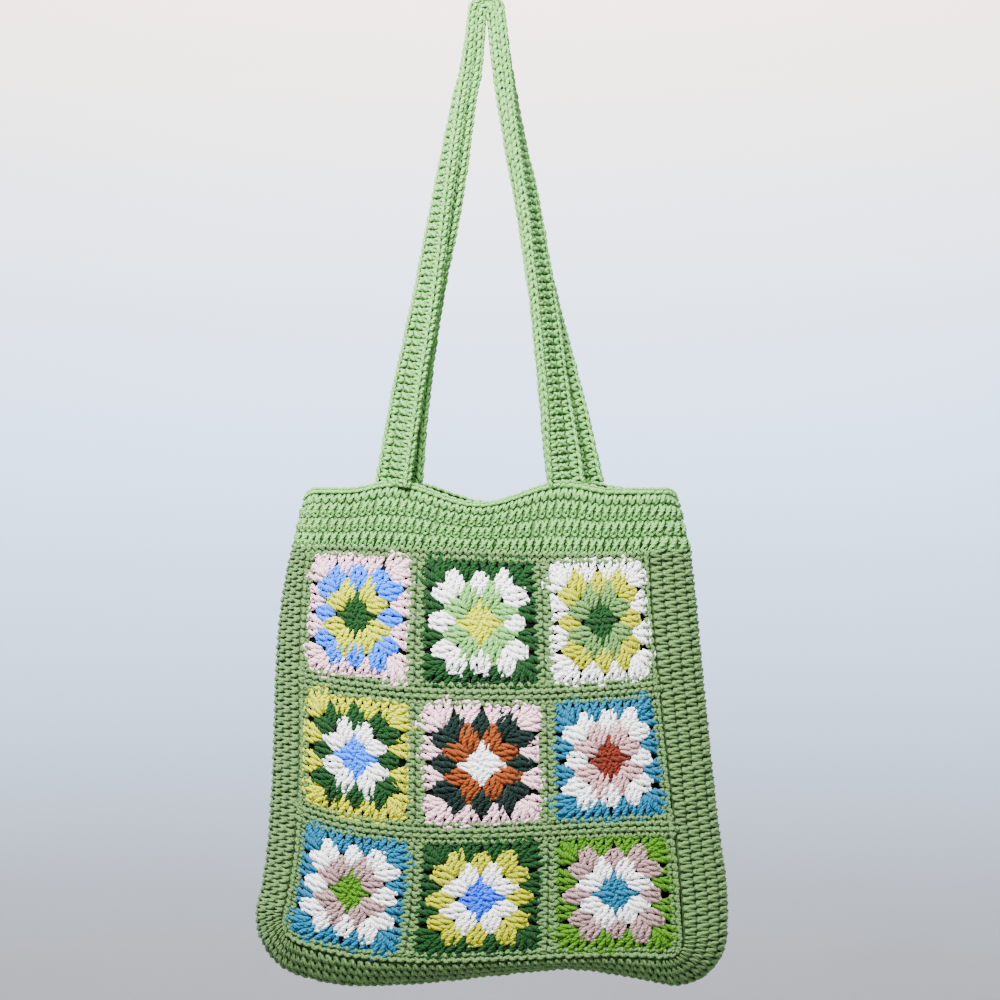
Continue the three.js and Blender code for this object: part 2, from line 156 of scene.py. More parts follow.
@dataclass(frozen=True)
class BagShape:
    """The outer face of the bag's cloth, in millimetres, with the sizes of its frame."""

    cloth_thickness: float = 4.2
    squares: int = 3
    square_width: float = 79.6
    square_height: float = 87.5
    join_width: float = 10.4
    join_height: float = 14.2
    side_border: float = 7.6
    foot_border: float = 8.2
    band_height: float = 45.0
    corner_round: float = 18.0
    back_shift: float = 14.0
    mouth_half_depth: float = 14.0
    seam_half_depth: float = 19.0
    front_belly: float = 8.0
    back_belly: float = 4.0
    belly_at_top: float = 0.4
    belly_power: float = 2.5
    gusset_swell: float = 26.0
    rim_drop: float = 358.0
    rim_width: float = 279.0
    rim_centre: float = 3.3
    rim_half_depth: float = 11.5
    rim_end_half_depth: float = 6.0
    rim_end: float = 8.0
    strap_pull: float = 5.5
    mouth_sag: float = 10.5
    pull_reach: float = 34.0
    front_feet: tuple[float, float] = (-69.8, 59.4)
    back_feet: tuple[float, float] = (-62.5, 73.8)
    joints: tuple[Joint, ...] = (
        Joint(0, 0, -0.498, -0.012),
        Joint(0, 1, -0.186, -0.007),
        Joint(0, 2, 0.147, 0.005),
        Joint(0, 3, 0.451, 0.0),
        Joint(1, 0, -0.517, 0.308),
        Joint(1, 1, -0.195, 0.346),
        Joint(1, 2, 0.165, 0.349),
        Joint(1, 3, 0.477, 0.33),
        Joint(2, 0, -0.523, 0.63),
        Joint(2, 1, -0.195, 0.685),
        Joint(2, 2, 0.171, 0.68),
        Joint(2, 3, 0.52, 0.672),
        Joint(3, 0, -0.581, 0.94),
        Joint(3, 1, -0.227, 1.007),
        Joint(3, 2, 0.169, 0.998),
        Joint(3, 3, 0.547, 1.007),
    )
    swells: tuple[Swell, ...] = (
        Swell(0.0, 0.64),
        Swell(0.5, 0.84),
        Swell(1.0, 0.94),
        Swell(2.0, 1.03),
        Swell(2.6, 1.02),
        Swell(3.0, 1.03),
        Swell(3.4, 0.98),
        Swell(4.0, 0.68),
        Swell(4.6, 0.46),
        Swell(5.1, 0.38),
        Swell(5.5, 0.62),
        Swell(6.0, 0.92),
        Swell(6.5, 1.06),
        Swell(7.0, 0.99),
        Swell(8.0, 1.02),
        Swell(8.5, 1.02),
        Swell(9.0, 0.92),
    )

    @property
    def pitch_across(self) -> float:
        """One square and one join, across."""
        return self.square_width + self.join_width

    @property
    def pitch_down(self) -> float:
        """One square and one join, down."""
        return self.square_height + self.join_height

    @property
    def panel_width(self) -> float:
        """The front panel's flat width."""
        return self.squares * self.pitch_across

    @property
    def panel_height(self) -> float:
        """The front panel's flat height."""
        return self.squares * self.pitch_down

    @property
    def panel_top(self) -> float:
        """How far the panels start below the hook."""
        return self.rim_drop + self.band_height

    @property
    def seam_turns(self) -> float:
        """Squares along the seam: down one side, along the bottom and up the other."""
        return 3 * self.squares

    def _edge(self, u: Points, v: Points) -> tuple[Points, Points, Points, Points]:
        """Round the two bottom corners, and find the way out into the gusset.

        Args:
            u: Squares across, from 0 to 3.
            v: Squares down, from 0 to 3.

        Returns:
            The rounded u and v, how strongly the cloth turns out, and which way.
        """
        reach = self.corner_round / self.pitch_across
        far = self.squares - reach
        x = np.where(u < reach, (u - reach) / reach, np.maximum(u - far, 0) / reach)
        y = np.maximum(v - far, 0) / reach
        wide = x * np.sqrt(np.maximum(1 - y * y / 2, 0))
        deep = y * np.sqrt(np.maximum(1 - x * x / 2, 0))
        turned = np.hypot(wide, deep)
        outward = np.stack([wide, np.zeros_like(wide), -deep], axis=-1)
        outward = outward / np.maximum(turned, TINY)[..., None]
        round_u = np.clip(u, reach, far) + wide * reach
        round_v = np.minimum(v, far) + deep * reach
        return round_u, round_v, turned, outward

    def _belly_across(self, u: Points) -> Points:
        """The share of the belly at a place across."""
        return 1 - np.abs(2 * u / self.squares - 1) ** self.belly_power

    def _belly_down(self, v: Points) -> Points:
        """The share of the belly at a place down."""
        rise = np.sin(np.pi * v / self.squares)
        return self.belly_at_top + (1 - self.belly_at_top) * rise

    def _join_shares(self, t: Points) -> list[Points]:
        """The share of each join line in a cubic through all four."""
        lines = range(self.squares + 1)
        shares = []
        for i in lines:
            share = np.ones_like(t)
            for j in lines:
                if j != i:
                    share = share * (t - j) / (i - j)
            shares.append(share)
        return shares

    def panel(self, u: Points, v: Points, side: int) -> tuple[Points, Points]:
        """Find points of the front or back panel.

        Args:
            u: Squares across, from the viewer's left.
            v: Squares down, from the band.
            side: FRONT or BACK.

        Returns:
            The points, and the way out of the cloth at each.
        """
        round_u, round_v, turned, outward = self._edge(u, v)
        of_column, of_row = self._join_shares(round_u), self._join_shares(round_v)
        across, down = np.zeros_like(round_u), np.zeros_like(round_u)
        for joint in self.joints:
            share = of_column[joint.column] * of_row[joint.row]
            across += share * joint.across
            down += share * joint.down
        opened = smoothstep(round_v, 0, 1)
        seam = self.mouth_half_depth + (self.seam_half_depth - self.mouth_half_depth) * opened
        full = self.front_belly if side == FRONT else self.back_belly
        belly = full * self._belly_across(round_u) * self._belly_down(round_v)
        shift = self.back_shift if side == BACK else 0.0
        x = across * self.panel_width + shift
        z = -self.panel_top - down * self.panel_height
        at = np.stack([x, side * (seam + belly), z], axis=-1)
        out = outward * (turned**2)[..., None]
        out[..., 1] = side
        return at, unit(out)

    def _bulge(
        self, front: Points, back: Points, outward: Points, swell: Points, round_: Points
    ) -> tuple[Points, Points]:
        """Find points of cloth that bulges from one seam to the other.

        Args:
            front: Points on the front seam.
            back: The same on the back seam.
            outward: The way out at each.
            swell: How far the cloth stands out there.
            round_: From 0 at the front seam to 1 at the back one.

        Returns:
            The points, and the way out of the cloth at each.
        """
        at = front + (back - front) * round_[..., None]
        at = at + outward * (swell * np.sin(np.pi * round_))[..., None]
        angle = np.pi / 4 * (1 + 2 * round_)
        out = outward * np.sin(angle)[..., None]
        out[..., 1] = -np.cos(angle)
        return at, out

    def gusset(self, along: Points, round_: Points) -> tuple[Points, Points]:
        """Find points of the gusset.

        Args:
            along: Squares along the seam, from the band's foot on the left.
            round_: From 0 at the front seam to 1 at the back one.

        Returns:
            The points, and the way out of the cloth at each.
        """
        side = float(self.squares)
        u = np.clip(along - side, 0, side)
        v = np.clip(np.minimum(along, self.seam_turns - along), 0, side)
        outward = self._edge(u, v)[3]
        swell = self.gusset_swell * through(self.swells, "along", "share")(along)
        front = self.panel(u, v, FRONT)[0]
        back = self.panel(u, v, BACK)[0]
        return self._bulge(front, back, outward, swell, round_)

    def rim_height(self, x: Points, side: int) -> Points:
        """The rim's height at a place across, pulled up at each strap."""
        left, right = self.front_feet if side == FRONT else self.back_feet
        outside = np.maximum(np.maximum(left - x, x - right), 0)
        beyond = self.strap_pull * (1 - smoothstep(outside, 0, self.pull_reach))
        t = np.clip((x - left) / (right - left), 0, 1)
        sag = (self.strap_pull + self.mouth_sag) * np.sin(np.pi * t) ** 2
        return -self.rim_drop + np.where(outside > 0, beyond, self.strap_pull - sag)

    def rim_depth(self, x: Points) -> Points:
        """How far the rim's outer face is from the middle of the bag."""
        half_length = self.rim_width / 2 - self.rim_end
        u = self.squares * (1 + (x - self.rim_centre) / half_length) / 2
        belly = self._belly_across(np.clip(u, 0, self.squares))
        return self.rim_end_half_depth + (self.rim_half_depth - self.rim_end_half_depth) * belly

    def rim(self, u: Points, side: int) -> Points:
        """Points of the rim's outer edge at u squares across."""
        half_length = self.rim_width / 2 - self.rim_end
        x = self.rim_centre + half_length * (2 * u / self.squares - 1)
        return np.stack([x, side * self.rim_depth(x), self.rim_height(x, side)], axis=-1)

    def band(self, turn: Points, up: Points) -> tuple[Points, Points]:
        """Find points of the band round the mouth.

        Args:
            turn: Squares round the mouth: front, right end, back, left end.
            up: From 0 at the band's foot to 1 at the rim.

        Returns:
            The points, and the way out of the cloth at each.
        """
        side_turns = self.squares + 1
        turn = np.mod(turn, 2 * side_turns)
        at = np.zeros((*turn.shape, 3))
        out = np.zeros((*turn.shape, 3))
        for side in (FRONT, BACK):
            here = (turn < side_turns) if side == FRONT else (turn >= side_turns)
            place = turn - (0 if side == FRONT else side_turns)
            flat = here & (place <= self.squares)
            u = place[flat] if side == FRONT else self.squares - place[flat]
            foot, foot_out = self.panel(u, np.zeros_like(u), side)
            rim = self.rim(u, side)
            at[flat] = foot + (rim - foot) * up[flat][..., None]
            out[flat] = foot_out
            end = here & (place > self.squares)
            past = place[end] - self.squares
            round_ = past if side == FRONT else 1 - past
            u = np.full_like(round_, self.squares if side == FRONT else 0)
            along = np.full_like(round_, self.seam_turns if side == FRONT else 0)
            foot, foot_out = self.gusset(along, round_)
            outward = self._edge(u, np.zeros_like(u))[3]
            swell = np.full_like(round_, self.rim_end)
            rim = self._bulge(self.rim(u, FRONT), self.rim(u, BACK), outward, swell, round_)[0]
            at[end] = foot + (rim - foot) * up[end][..., None]
            out[end] = foot_out
        return at, out

    def window(self, column: int, row: int) -> "Window":
        """The square's place in the panel's flat cloth."""
        last = self.squares - 1
        left = self.side_border if column == 0 else self.join_width / 2
        right = self.side_border if column == last else self.join_width / 2
        top = self.join_height / 2
        bottom = self.foot_border if row == last else self.join_height / 2
        return Window(
            column * self.pitch_across + left,
            (column + 1) * self.pitch_across - right,
            -row * self.pitch_down - top,
            -(row + 1) * self.pitch_down + bottom,
        )


class Window(NamedTuple):
    """A rectangle of flat cloth: x from left to right, y from bottom up to top."""

    left: float
    right: float
    top: float
    bottom: float


@dataclass(frozen=True)
class StrapShape:
    """One strap: a flat band from its left foot over the hook to its right foot."""

    bag: BagShape
    side: int
    arch_radius: float
    left_leg: tuple[LegPlace, ...]
    right_leg: tuple[LegPlace, ...]
    width: float = 26.0
    thickness: float = 5.2
    hook_radius: float = 1.6
    leg_steps: int = 110
    arch_steps: int = 24

    def _leg(self, rows: tuple[LegPlace, ...], foot: float, sign: int, down: Points) -> Points:
        """Work out the middle line of a leg and the direction of its width.

        Args:
            rows: The leg's table.
            foot: Where the leg stands on the rim.
            sign: -1 for the left leg, 1 for the right one.
            down: Places from 0 at the hook to 1 at the rim.

        Returns:
            An array with the line in its first three columns and the width direction
            in its last three.
        """
        angle = np.radians(through(rows, "down", "turn")(down))
        start = sign * self.arch_radius
        here = np.array([foot])
        depth = self.side * (self.bag.rim_depth(here) - self.bag.cloth_thickness / 2)
        rim = self.bag.rim_height(here, self.side)
        top = -self.hook_radius
        x = start + (foot - start) * through(rows, "down", "across")(down)
        y = depth * through(rows, "down", "away")(down)
        z = top + (rim - top) * down
        inward = [-sign * np.cos(angle), -np.sin(angle), np.zeros_like(angle)]
        return np.stack([x, y, z, *inward], axis=-1)

    def line(self) -> tuple[Points, Points, Points, Points]:
        """Lay out the strap's middle line.

        Returns:
            The way along the line, its points, the direction of the width and the
            direction of the thickness at each.
        """
        feet = self.bag.front_feet if self.side == FRONT else self.bag.back_feet
        down = np.linspace(0, 1, self.leg_steps + 1)
        angle = np.linspace(np.pi, 0, self.arch_steps + 1)[1:-1]
        nothing = np.zeros_like(angle)
        arch_x = self.arch_radius * np.cos(angle)
        arch_z = -self.hook_radius + self.arch_radius * np.sin(angle)
        arch = np.stack([arch_x, nothing, arch_z, nothing, nothing - 1, nothing], axis=-1)
        left = self._leg(self.left_leg, feet[0], -1, down[::-1])
        right = self._leg(self.right_leg, feet[1], 1, down)
        stations = np.concatenate([left, arch, right])
        at, inward = stations[:, :3], stations[:, 3:]
        tangent = unit(np.gradient(at, axis=0))
        wide = unit(inward - tangent * np.sum(inward * tangent, axis=1, keepdims=True))
        thick = np.cross(tangent, wide)
        return lengths_along(at), at, wide, thick


FRONT_LEFT_LEG = (
    LegPlace(0.0, 0.0, 0.0, 90.0),
    LegPlace(0.12, 0.095, 0.1, 83.0),
    LegPlace(0.18, 0.17, 0.16, 78.0),
    LegPlace(0.4, 0.393, 0.33, 66.0),
    LegPlace(0.61, 0.592, 0.55, 51.0),
    LegPlace(0.82, 0.827, 0.78, 38.0),
    LegPlace(1.0, 1.0, 1.0, 26.0),
)
FRONT_RIGHT_LEG = (
    LegPlace(0.0, 0.0, 0.0, 90.0),
    LegPlace(0.12, 0.109, 0.1, 86.0),
    LegPlace(0.18, 0.171, 0.18, 82.0),
    LegPlace(0.29, 0.294, 0.37, 74.0),
    LegPlace(0.4, 0.437, 0.53, 66.0),
    LegPlace(0.61, 0.654, 0.69, 54.0),
    LegPlace(0.82, 0.831, 0.9, 42.0),
    LegPlace(1.0, 1.0, 1.0, 8.0),
)
BACK_LEFT_LEG = (
    LegPlace(0.0, 0.0, 0.0, 90.0),
    LegPlace(0.12, 0.067, 0.1, 85.0),
    LegPlace(0.18, 0.149, 0.16, 80.0),
    LegPlace(0.4, 0.37, 0.4, 68.0),
    LegPlace(0.61, 0.66, 0.62, 52.0),
    LegPlace(0.82, 0.87, 0.82, 38.0),
    LegPlace(1.0, 1.0, 1.0, 12.0),
)
BACK_RIGHT_LEG = (
    LegPlace(0.0, 0.0, 0.0, 90.0),
    LegPlace(0.12, 0.065, 0.1, 88.0),
    LegPlace(0.18, 0.115, 0.24, 84.0),
    LegPlace(0.29, 0.226, 0.42, 77.0),
    LegPlace(0.4, 0.36, 0.56, 66.0),
    LegPlace(0.61, 0.562, 0.74, 50.0),
    LegPlace(0.82, 0.81, 0.92, 30.0),
    LegPlace(1.0, 1.0, 1.0, 8.0),
)


# Shader nodes


class Socket:
    """A node's output whose maths is written as Python expressions."""

    def __init__(self, tree: "ShaderTree", output: bpy.types.NodeSocket) -> None:
        """Wrap an output of a node in a tree."""
        self.tree = tree
        self.output = output

    def _math(self, operation: str, *values: "float | Socket") -> "Socket":
        """Add a Math node that works on these values."""
        return self.tree.node("ShaderNodeMath", {"operation": operation}, dict(enumerate(values)))

    def __add__(self, other: "float | Socket") -> "Socket":
        """Add."""
        return self._math("ADD", self, other)

    def __sub__(self, other: "float | Socket") -> "Socket":
        """Take away."""
        return self._math("SUBTRACT", self, other)

    def __mul__(self, other: "float | Socket") -> "Socket":
        """Multiply."""
        return self._math("MULTIPLY", self, other)

    def sine(self) -> "Socket":
        """The sine of an angle in radians."""
        return self._math("SINE", self)

    def between(self, low: float, high: float) -> "Socket":
        """Bring a stretch of values to 0 to 1, and clamp the rest."""
        settings = {"clamp": True, "interpolation_type": "SMOOTHSTEP"}
        return self.tree.node("ShaderNodeMapRange", settings, {0: self, 1: low, 2: high})


class ShaderTree:
    """A material's nodes."""

    def __init__(self, name: str) -> None:
        """Start an empty material of this name."""
        self.material = bpy.data.materials.new(name)
        self.material.use_nodes = True
        self.nodes = self.material.node_tree.nodes
        self.links = self.material.node_tree.links
        self.nodes.clear()

    def node(
        self,
        kind: str,
        settings: Mapping[str, object] | None = None,
        values: Mapping[int | str, object] | None = None,
        output: int | str = 0,
    ) -> Socket:
        """Add a node.

        Args:
            kind: The node's type.
            settings: Its own settings, which are set first.
            values: For its inputs by place or name, a Socket to link or a value.
            output: Which output is wanted.

        Returns:
            That output.
        """
        made = self.nodes.new(kind)
        for name, value in (settings or {}).items():
            setattr(made, name, value)
        for key, value in (values or {}).items():
            if isinstance(value, Socket):
                self.links.new(value.output, made.inputs[key])
            else:
                made.inputs[key].default_value = value
        return Socket(self, made.outputs[output])

    def mix(self, share: "float | Socket", first: object, second: object) -> Socket:
        """Mix two colours, by a share of the second."""
        settings = {"data_type": "RGBA"}
        return self.node("ShaderNodeMix", settings, {0: share, 6: first, 7: second}, output=2)

    def surface(self, shader: Socket) -> bpy.types.Material:
        """Give the material its surface, and return it."""
        end = self.nodes.new("ShaderNodeOutputMaterial")
        self.links.new(shader.output, end.inputs["Surface"])
        return self.material


def paint(code: str) -> tuple[float, float, float, float]:
    """Turn a #rrggbb colour into linear red, green, blue and alpha, by the sRGB curve."""
    shares = [int(code[i : i + 2], 16) / 255 for i in (1, 3, 5)]
    return (*[s / 12.92 if s <= 0.04045 else ((s + 0.055) / 1.055) ** 2.4 for s in shares], 1.0)


def scaled(colour: Sequence[float], share: float) -> tuple[float, float, float, float]:
    """Darken or lighten a linear colour."""
    return (*[channel * share for channel in colour[:3]], 1.0)


def noise(tree: ShaderTree, where: Socket, scale: float, detail: float) -> Socket:
    """Add cloudy noise at these places."""
    values = {"Vector": where, "Scale": scale, "Detail": detail}
    return tree.node("ShaderNodeTexNoise", values=values)


# Yarns


@dataclass(frozen=True)
class Yarn:
    """A cotton yarn of several plies, in one colour, with painted shade in its recesses and in the grooves
    between its plies.

    The plies' twist follows the yarn map, whose x is the way along the yarn in
    millimetres and whose y is the share of the way round it.
    """

    name: str
    slot: str
    colour: str
    # The darkest colour, as a share of the yarn's, where painted shade and random tone are deepest.
    deep_share: float = 0.36
    ply_pitch: float = 2.3
    plies_round: float = 3.0
    # The span of stitch relief over which painted shade darkens the yarn in its recesses.
    recess_shade_low: float = -2.3
    recess_shade_high: float = 1.0
    fibre_scale: float = 2600.0
    fibre_detail: float = 3.0
    mottle_scale: float = 260.0
    mottle_detail: float = 2.0
    # Shares of the tone: painted recess shade by relief, painted shade in the ply grooves, and random tone
    # by stitch, mottle and fibre.
    recess_shade_share: float = 0.62
    ply_groove_shade_share: float = 0.24
    shade_share: float = 0.16
    mottle_share: float = 0.4
    fibre_share: float = 0.3
    lightness: float = 0.14
    ply_bump: float = 0.8
    fibre_bump: float = 0.5
    bump_strength: float = 0.9
    bump_depth: float = 0.0006
    roughness: float = 0.72
    roughness_play: float = 0.2
    specular: float = 0.15
    fuzz: float = 0.08
    fuzz_roughness: float = 0.45

    def material(self) -> bpy.types.Material:
        """Build the yarn's material, or find it where it is built already."""
        found = bpy.data.materials.get(self.name)
        if found:
            return found
        tree = ShaderTree(self.name)
        where = tree.node("ShaderNodeTexCoord", output="Object")
        yarn_map = tree.node("ShaderNodeUVMap", {"uv_map": YARN_MAP})
        along = tree.node("ShaderNodeSeparateXYZ", values={0: yarn_map}, output="X")
        around = tree.node("ShaderNodeSeparateXYZ", values={0: yarn_map}, output="Y")
        shade = tree.node("ShaderNodeAttribute", {"attribute_name": "shade"}, output="Fac")
        # Relief is each corner's height out of the flat cloth; low places get painted shade.
        relief = tree.node("ShaderNodeAttribute", {"attribute_name": "relief"}, output="Fac")
        turn = 2 * math.pi
        # Painted shade in the grooves between the twisted plies; the same stripes also drive the bump.
        ply = (along * (turn / self.ply_pitch) + around * (turn * self.plies_round)).sine()
        ply = ply * 0.5 + 0.5
        fibre = noise(tree, where, self.fibre_scale, self.fibre_detail)
        mottle = noise(tree, where, self.mottle_scale, self.mottle_detail)
        # 0 in the deepest recesses and 1 on the crowns: painted recess shade.
        height = relief.between(self.recess_shade_low, self.recess_shade_high)
        tone = height * self.recess_shade_share + ply * self.ply_groove_shade_share + (shade - 0.5) * self.shade_share
        tone = tone + (mottle - 0.5) * self.mottle_share
        tone = tone + (fibre - 0.5) * self.fibre_share + self.lightness
        full = paint(self.colour)
        # Painted shade: low relief and ply grooves pull the colour toward its deep share.
        colour = tree.mix(tone.between(0.0, 1.0), scaled(full, self.deep_share), full)
        bump = tree.node(
            "ShaderNodeBump",
            values={
                "Strength": self.bump_strength,
                "Distance": self.bump_depth,
                "Height": ply * self.ply_bump + fibre * self.fibre_bump,
            },
        )
        least = self.roughness - self.roughness_play / 2
        shader = tree.node(
            "ShaderNodeBsdfPrincipled",
            values={
                "Base Color": colour,
                "Roughness": fibre * self.roughness_play + least,
                "Specular IOR Level": self.specular,
                "Sheen Weight": self.fuzz,
                "Sheen Roughness": self.fuzz_roughness,
                "Normal": bump,
            },
        )
        return tree.surface(shader)


@dataclass(frozen=True)
class ShadedBacking:
    """The inside of the crochet that shows between its stitches, painted dark as the shade that falls
    there.
    """

    yarn: Yarn
    painted_shade_share: float = 0.3
    row_pitch: float = 10.7
    stitch_pitch: float = 5.9
    row_share: float = 0.3
    post_share: float = 0.3
    fibre_share: float = 0.4
    fibre_scale: float = 700.0
    fibre_detail: float = 4.0
    # The painted shade's darkest and lightest tones, as shares of the shaded yarn colour.
    darkest: float = 0.6
    lightest: float = 1.6
    bump_strength: float = 0.8
    bump_depth: float = 0.0012
    roughness: float = 0.9
    specular: float = 0.1

    def material(self) -> bpy.types.Material:
        """Build the backing's material, or find it where it is built already."""
        name = f"{self.yarn.name}_inside"
        found = bpy.data.materials.get(name)
        if found:
            return found
        tree = ShaderTree(name)
        where = tree.node("ShaderNodeTexCoord", output="Object")
        place = tree.node("ShaderNodeSeparateXYZ", values={0: where}, output="X")
        height = tree.node("ShaderNodeSeparateXYZ", values={0: where}, output="Z")
        turn = 2 * math.pi / MM
        rows = (height * (turn / self.row_pitch)).sine() * 0.5 + 0.5
        posts = (place * (turn / self.stitch_pitch)).sine() * 0.5 + 0.5
        fibre = noise(tree, where, self.fibre_scale, self.fibre_detail)
        full = paint(self.yarn.colour)
        tone = rows * self.row_share + posts * self.post_share + fibre * self.fibre_share
        # Painted shade: the yarn's colour darkened to stand for the shade between the stitches.
        dark = scaled(full, self.painted_shade_share * self.darkest)
        light = scaled(full, self.painted_shade_share * self.lightest)
        values = {"Strength": self.bump_strength, "Distance": self.bump_depth, "Height": tone}
        bump = tree.node("ShaderNodeBump", values=values)
        values = {
            "Base Color": tree.mix(tone, dark, light),
            "Roughness": self.roughness,
            "Specular IOR Level": self.specular,
            "Normal": bump,
        }
        return tree.surface(tree.node("ShaderNodeBsdfPrincipled", values=values))


class YarnColour(Enum):
    """The yarns in the bag."""

    SAGE = Yarn("sage_yarn", "sage_cotton", "#73b05d")
    # The sage yarn again, darkened as painted shade for the grid and the gusset.
    DENSE_SAGE = Yarn("dense_sage_yarn", "sage_cotton", "#5d8049", deep_share=0.42)
    DARK_GREEN = Yarn("dark_green_yarn", "dark_green_cotton", "#093b11")
    YELLOW = Yarn("yellow_yarn", "yellow_cotton", "#c0c500")
    SKY_BLUE = Yarn("sky_blue_yarn", "turquoise_cotton", "#0074ff")
    PALE_PINK = Yarn("pale_pink_yarn", "pale_pink_cotton", "#f7cbd7")
    GREY_SAGE = Yarn("grey_sage_yarn", "sage_cotton", "#618a4a")
    WHITE = Yarn("white_yarn", "white_cotton", "#fafafc", deep_share=0.75)
    MUSTARD = Yarn("mustard_yarn", "yellow_cotton", "#b0b400")
    RUST = Yarn("rust_yarn", "pale_pink_cotton", "#803a0e")
    DARK_RUST = Yarn("dark_rust_yarn", "pale_pink_cotton", "#672110")
    TEAL = Yarn("teal_yarn", "dark_green_cotton", "#001d17")
    DUSTY_PINK = Yarn("dusty_pink_yarn", "pale_pink_cotton", "#c49a9a")
    TURQUOISE = Yarn("turquoise_yarn", "turquoise_cotton", "#106688")
    LIME = Yarn("lime_yarn", "lime_cotton", "#427806")
    MAUVE = Yarn("mauve_yarn", "pale_pink_cotton", "#a48585")
    BRIGHT_BLUE = Yarn("bright_blue_yarn", "turquoise_cotton", "#0a58ed")


# Near-black painted shadow for the holes of the granny squares, where the bag's inside shows.
HOLE_SHADOW = Yarn("hollow", "dark_green_cotton", "#101d0e")


# Stitches

PETAL_STITCHES = 3
SIDE_NUDGE = (1e-4, 0.0, 0.0)


class Strand(NamedTuple):
    """A stretch of yarn in a stitch.

    Each point is a share of the stitch's width, a share of its height, and millimetres
    out of the cloth's outer face. thickness is a share of the yarn's.
    """

    points: tuple[tuple[float, float, float], ...]
    thickness: float = 1.0
    rings: int = 4


class Petal(NamedTuple):
    """Three double crochets in one space: how long they are and how wide they lie."""

    length: float
    foot: float
    middle: float
    head: float
    yarn_radius: float = 1.25
    crown: float = 1.1

    def width_at(self, up: float) -> float:
        """The petal's width at a share of its length."""
        t = min(max(up, 0.0), 1.0)
        ends = self.foot * (1 - t) + self.head * t
        swell = self.middle - (self.foot + self.head) / 2
        # 4 t (1 - t) rises from 0 at both ends to 1 in the middle.
        return ends + swell * 4 * t * (1 - t)


@dataclass(frozen=True)
class Stitch:
    """One crochet stitch, standing on the middle of its foot, as a few tubes of yarn."""

    name: str
    width: float
    height: float
    strands: tuple[Strand, ...]
    yarn_radius: float = 1.22
    sides: int = 5
    end_share: float = 0.1
    end_taper: float = 0.82

    def fanned(self, name: str, petal: Petal, index: int) -> "Stitch":
        """One of the three stitches of a petal, leaning and bowed as it lies there.

        Args:
            name: The new stitch's name.
            petal: The three stitches together.
            index: -1 for the left one, 0 for the middle one, 1 for the right one.

        Returns:
            The stitch, whose widths are in millimetres from the petal's middle line.
        """
        strands = []
        for strand in self.strands:
            points = []
            for across, up, out in strand.points:
                place = (index + across) / (PETAL_STITCHES / 2)
                rise = petal.crown * (1 - min(place * place, 1.0))
                points.append((petal.width_at(up) / 2 * place, up, out + rise))
            strands.append(strand._replace(points=tuple(points)))
        return Stitch(name, 1.0, petal.length, tuple(strands), petal.yarn_radius, self.sides)

    def _path(self, strand: Strand) -> tuple[Points, Points, Points]:
        """Run a smooth line through a strand's points.

        Args:
            strand: The strand.

        Returns:
            Places along it as shares, its points there, and its direction there.
        """
        scale = np.array([self.width, self.height, 1.0])
        knots = np.array(strand.points) * scale
        reach = lengths_along(knots)
        rings = np.linspace(self.end_share, 1 - self.end_share, strand.rings)
        share = np.concatenate([[0.0], rings, [1.0]])
        slope = np.gradient(knots, reach, axis=0)
        place = share * reach[-1]
        i = np.clip(np.searchsorted(reach, place) - 1, 0, len(reach) - 2)
        step = (reach[i + 1] - reach[i])[:, None]
        t = ((place - reach[i]) / step[:, 0])[:, None]
        at = (
            knots[i] * (1 + 2 * t) * (1 - t) ** 2
            + knots[i + 1] * t**2 * (3 - 2 * t)
            + slope[i] * step * t * (1 - t) ** 2
            - slope[i + 1] * step * t**2 * (1 - t)
        )
        return share, at, unit(np.gradient(at, axis=0))

    def mesh(self) -> bpy.types.Mesh:
        """Build the stitch's mesh, with its yarn map."""
        corners: list[Points] = []
        faces: list[list[int]] = []
        yarn_map: list[tuple[float, float]] = []
        for strand in self.strands:
            self._add_tube(strand, corners, faces, yarn_map)
        made = bpy.data.meshes.new(self.name)
        made.from_pydata(np.concatenate(corners).tolist(), [], faces)
        layer = made.uv_layers.new(name=YARN_MAP)
        layer.data.foreach_set("uv", np.array(yarn_map).ravel())
        made.polygons.foreach_set("use_smooth", [True] * len(faces))
        return made

    def _add_tube(
        self,
        strand: Strand,
        corners: list[Points],
        faces: list[list[int]],
        yarn_map: list[tuple[float, float]],
    ) -> None:
        """Add one strand's closed tube to the stitch's lists."""
        share, at, tangent = self._path(strand)
        length = lengths_along(at)[-1]
        # The nudge gives a strand that runs straight out of the cloth a side, too.
        side = np.cross(tangent, [0.0, 0.0, 1.0])
        side = unit(side + np.array(SIDE_NUDGE))
        up = np.cross(side, tangent)
        radius = np.full(strand.rings, self.yarn_radius * strand.thickness)
        radius[[0, -1]] *= self.end_taper
        first = sum(len(block) for block in corners)
        block = [at[:1]]
        for ring in range(strand.rings):
            angle = 2 * np.pi * np.arange(self.sides) / self.sides
            offset = np.outer(np.cos(angle), side[ring + 1]) + np.outer(np.sin(angle), up[ring + 1])
            block.append(at[ring + 1] + radius[ring] * offset)
        block.append(at[-1:])
        corners.append(np.concatenate(block))
        last = first + 1 + strand.rings * self.sides
        along = share * length
        for k in range(self.sides):
            n = (k + 1) % self.sides
            near, far = k / self.sides, (k + 1) / self.sides
            faces.append([first, first + 1 + k, first + 1 + n])
            yarn_map += [(0.0, near), (along[1], near), (along[1], far)]
            for ring in range(strand.rings - 1):
                here = first + 1 + ring * self.sides
                there = here + self.sides
                faces.append([here + k, there + k, there + n, here + n])
                start, stop = along[ring + 1], along[ring + 2]
                yarn_map += [(start, near), (stop, near), (stop, far), (start, far)]
            here = last - self.sides
            faces.append([here + k, last, here + n])
            yarn_map += [(along[-2], near), (along[-1], near), (along[-2], far)]


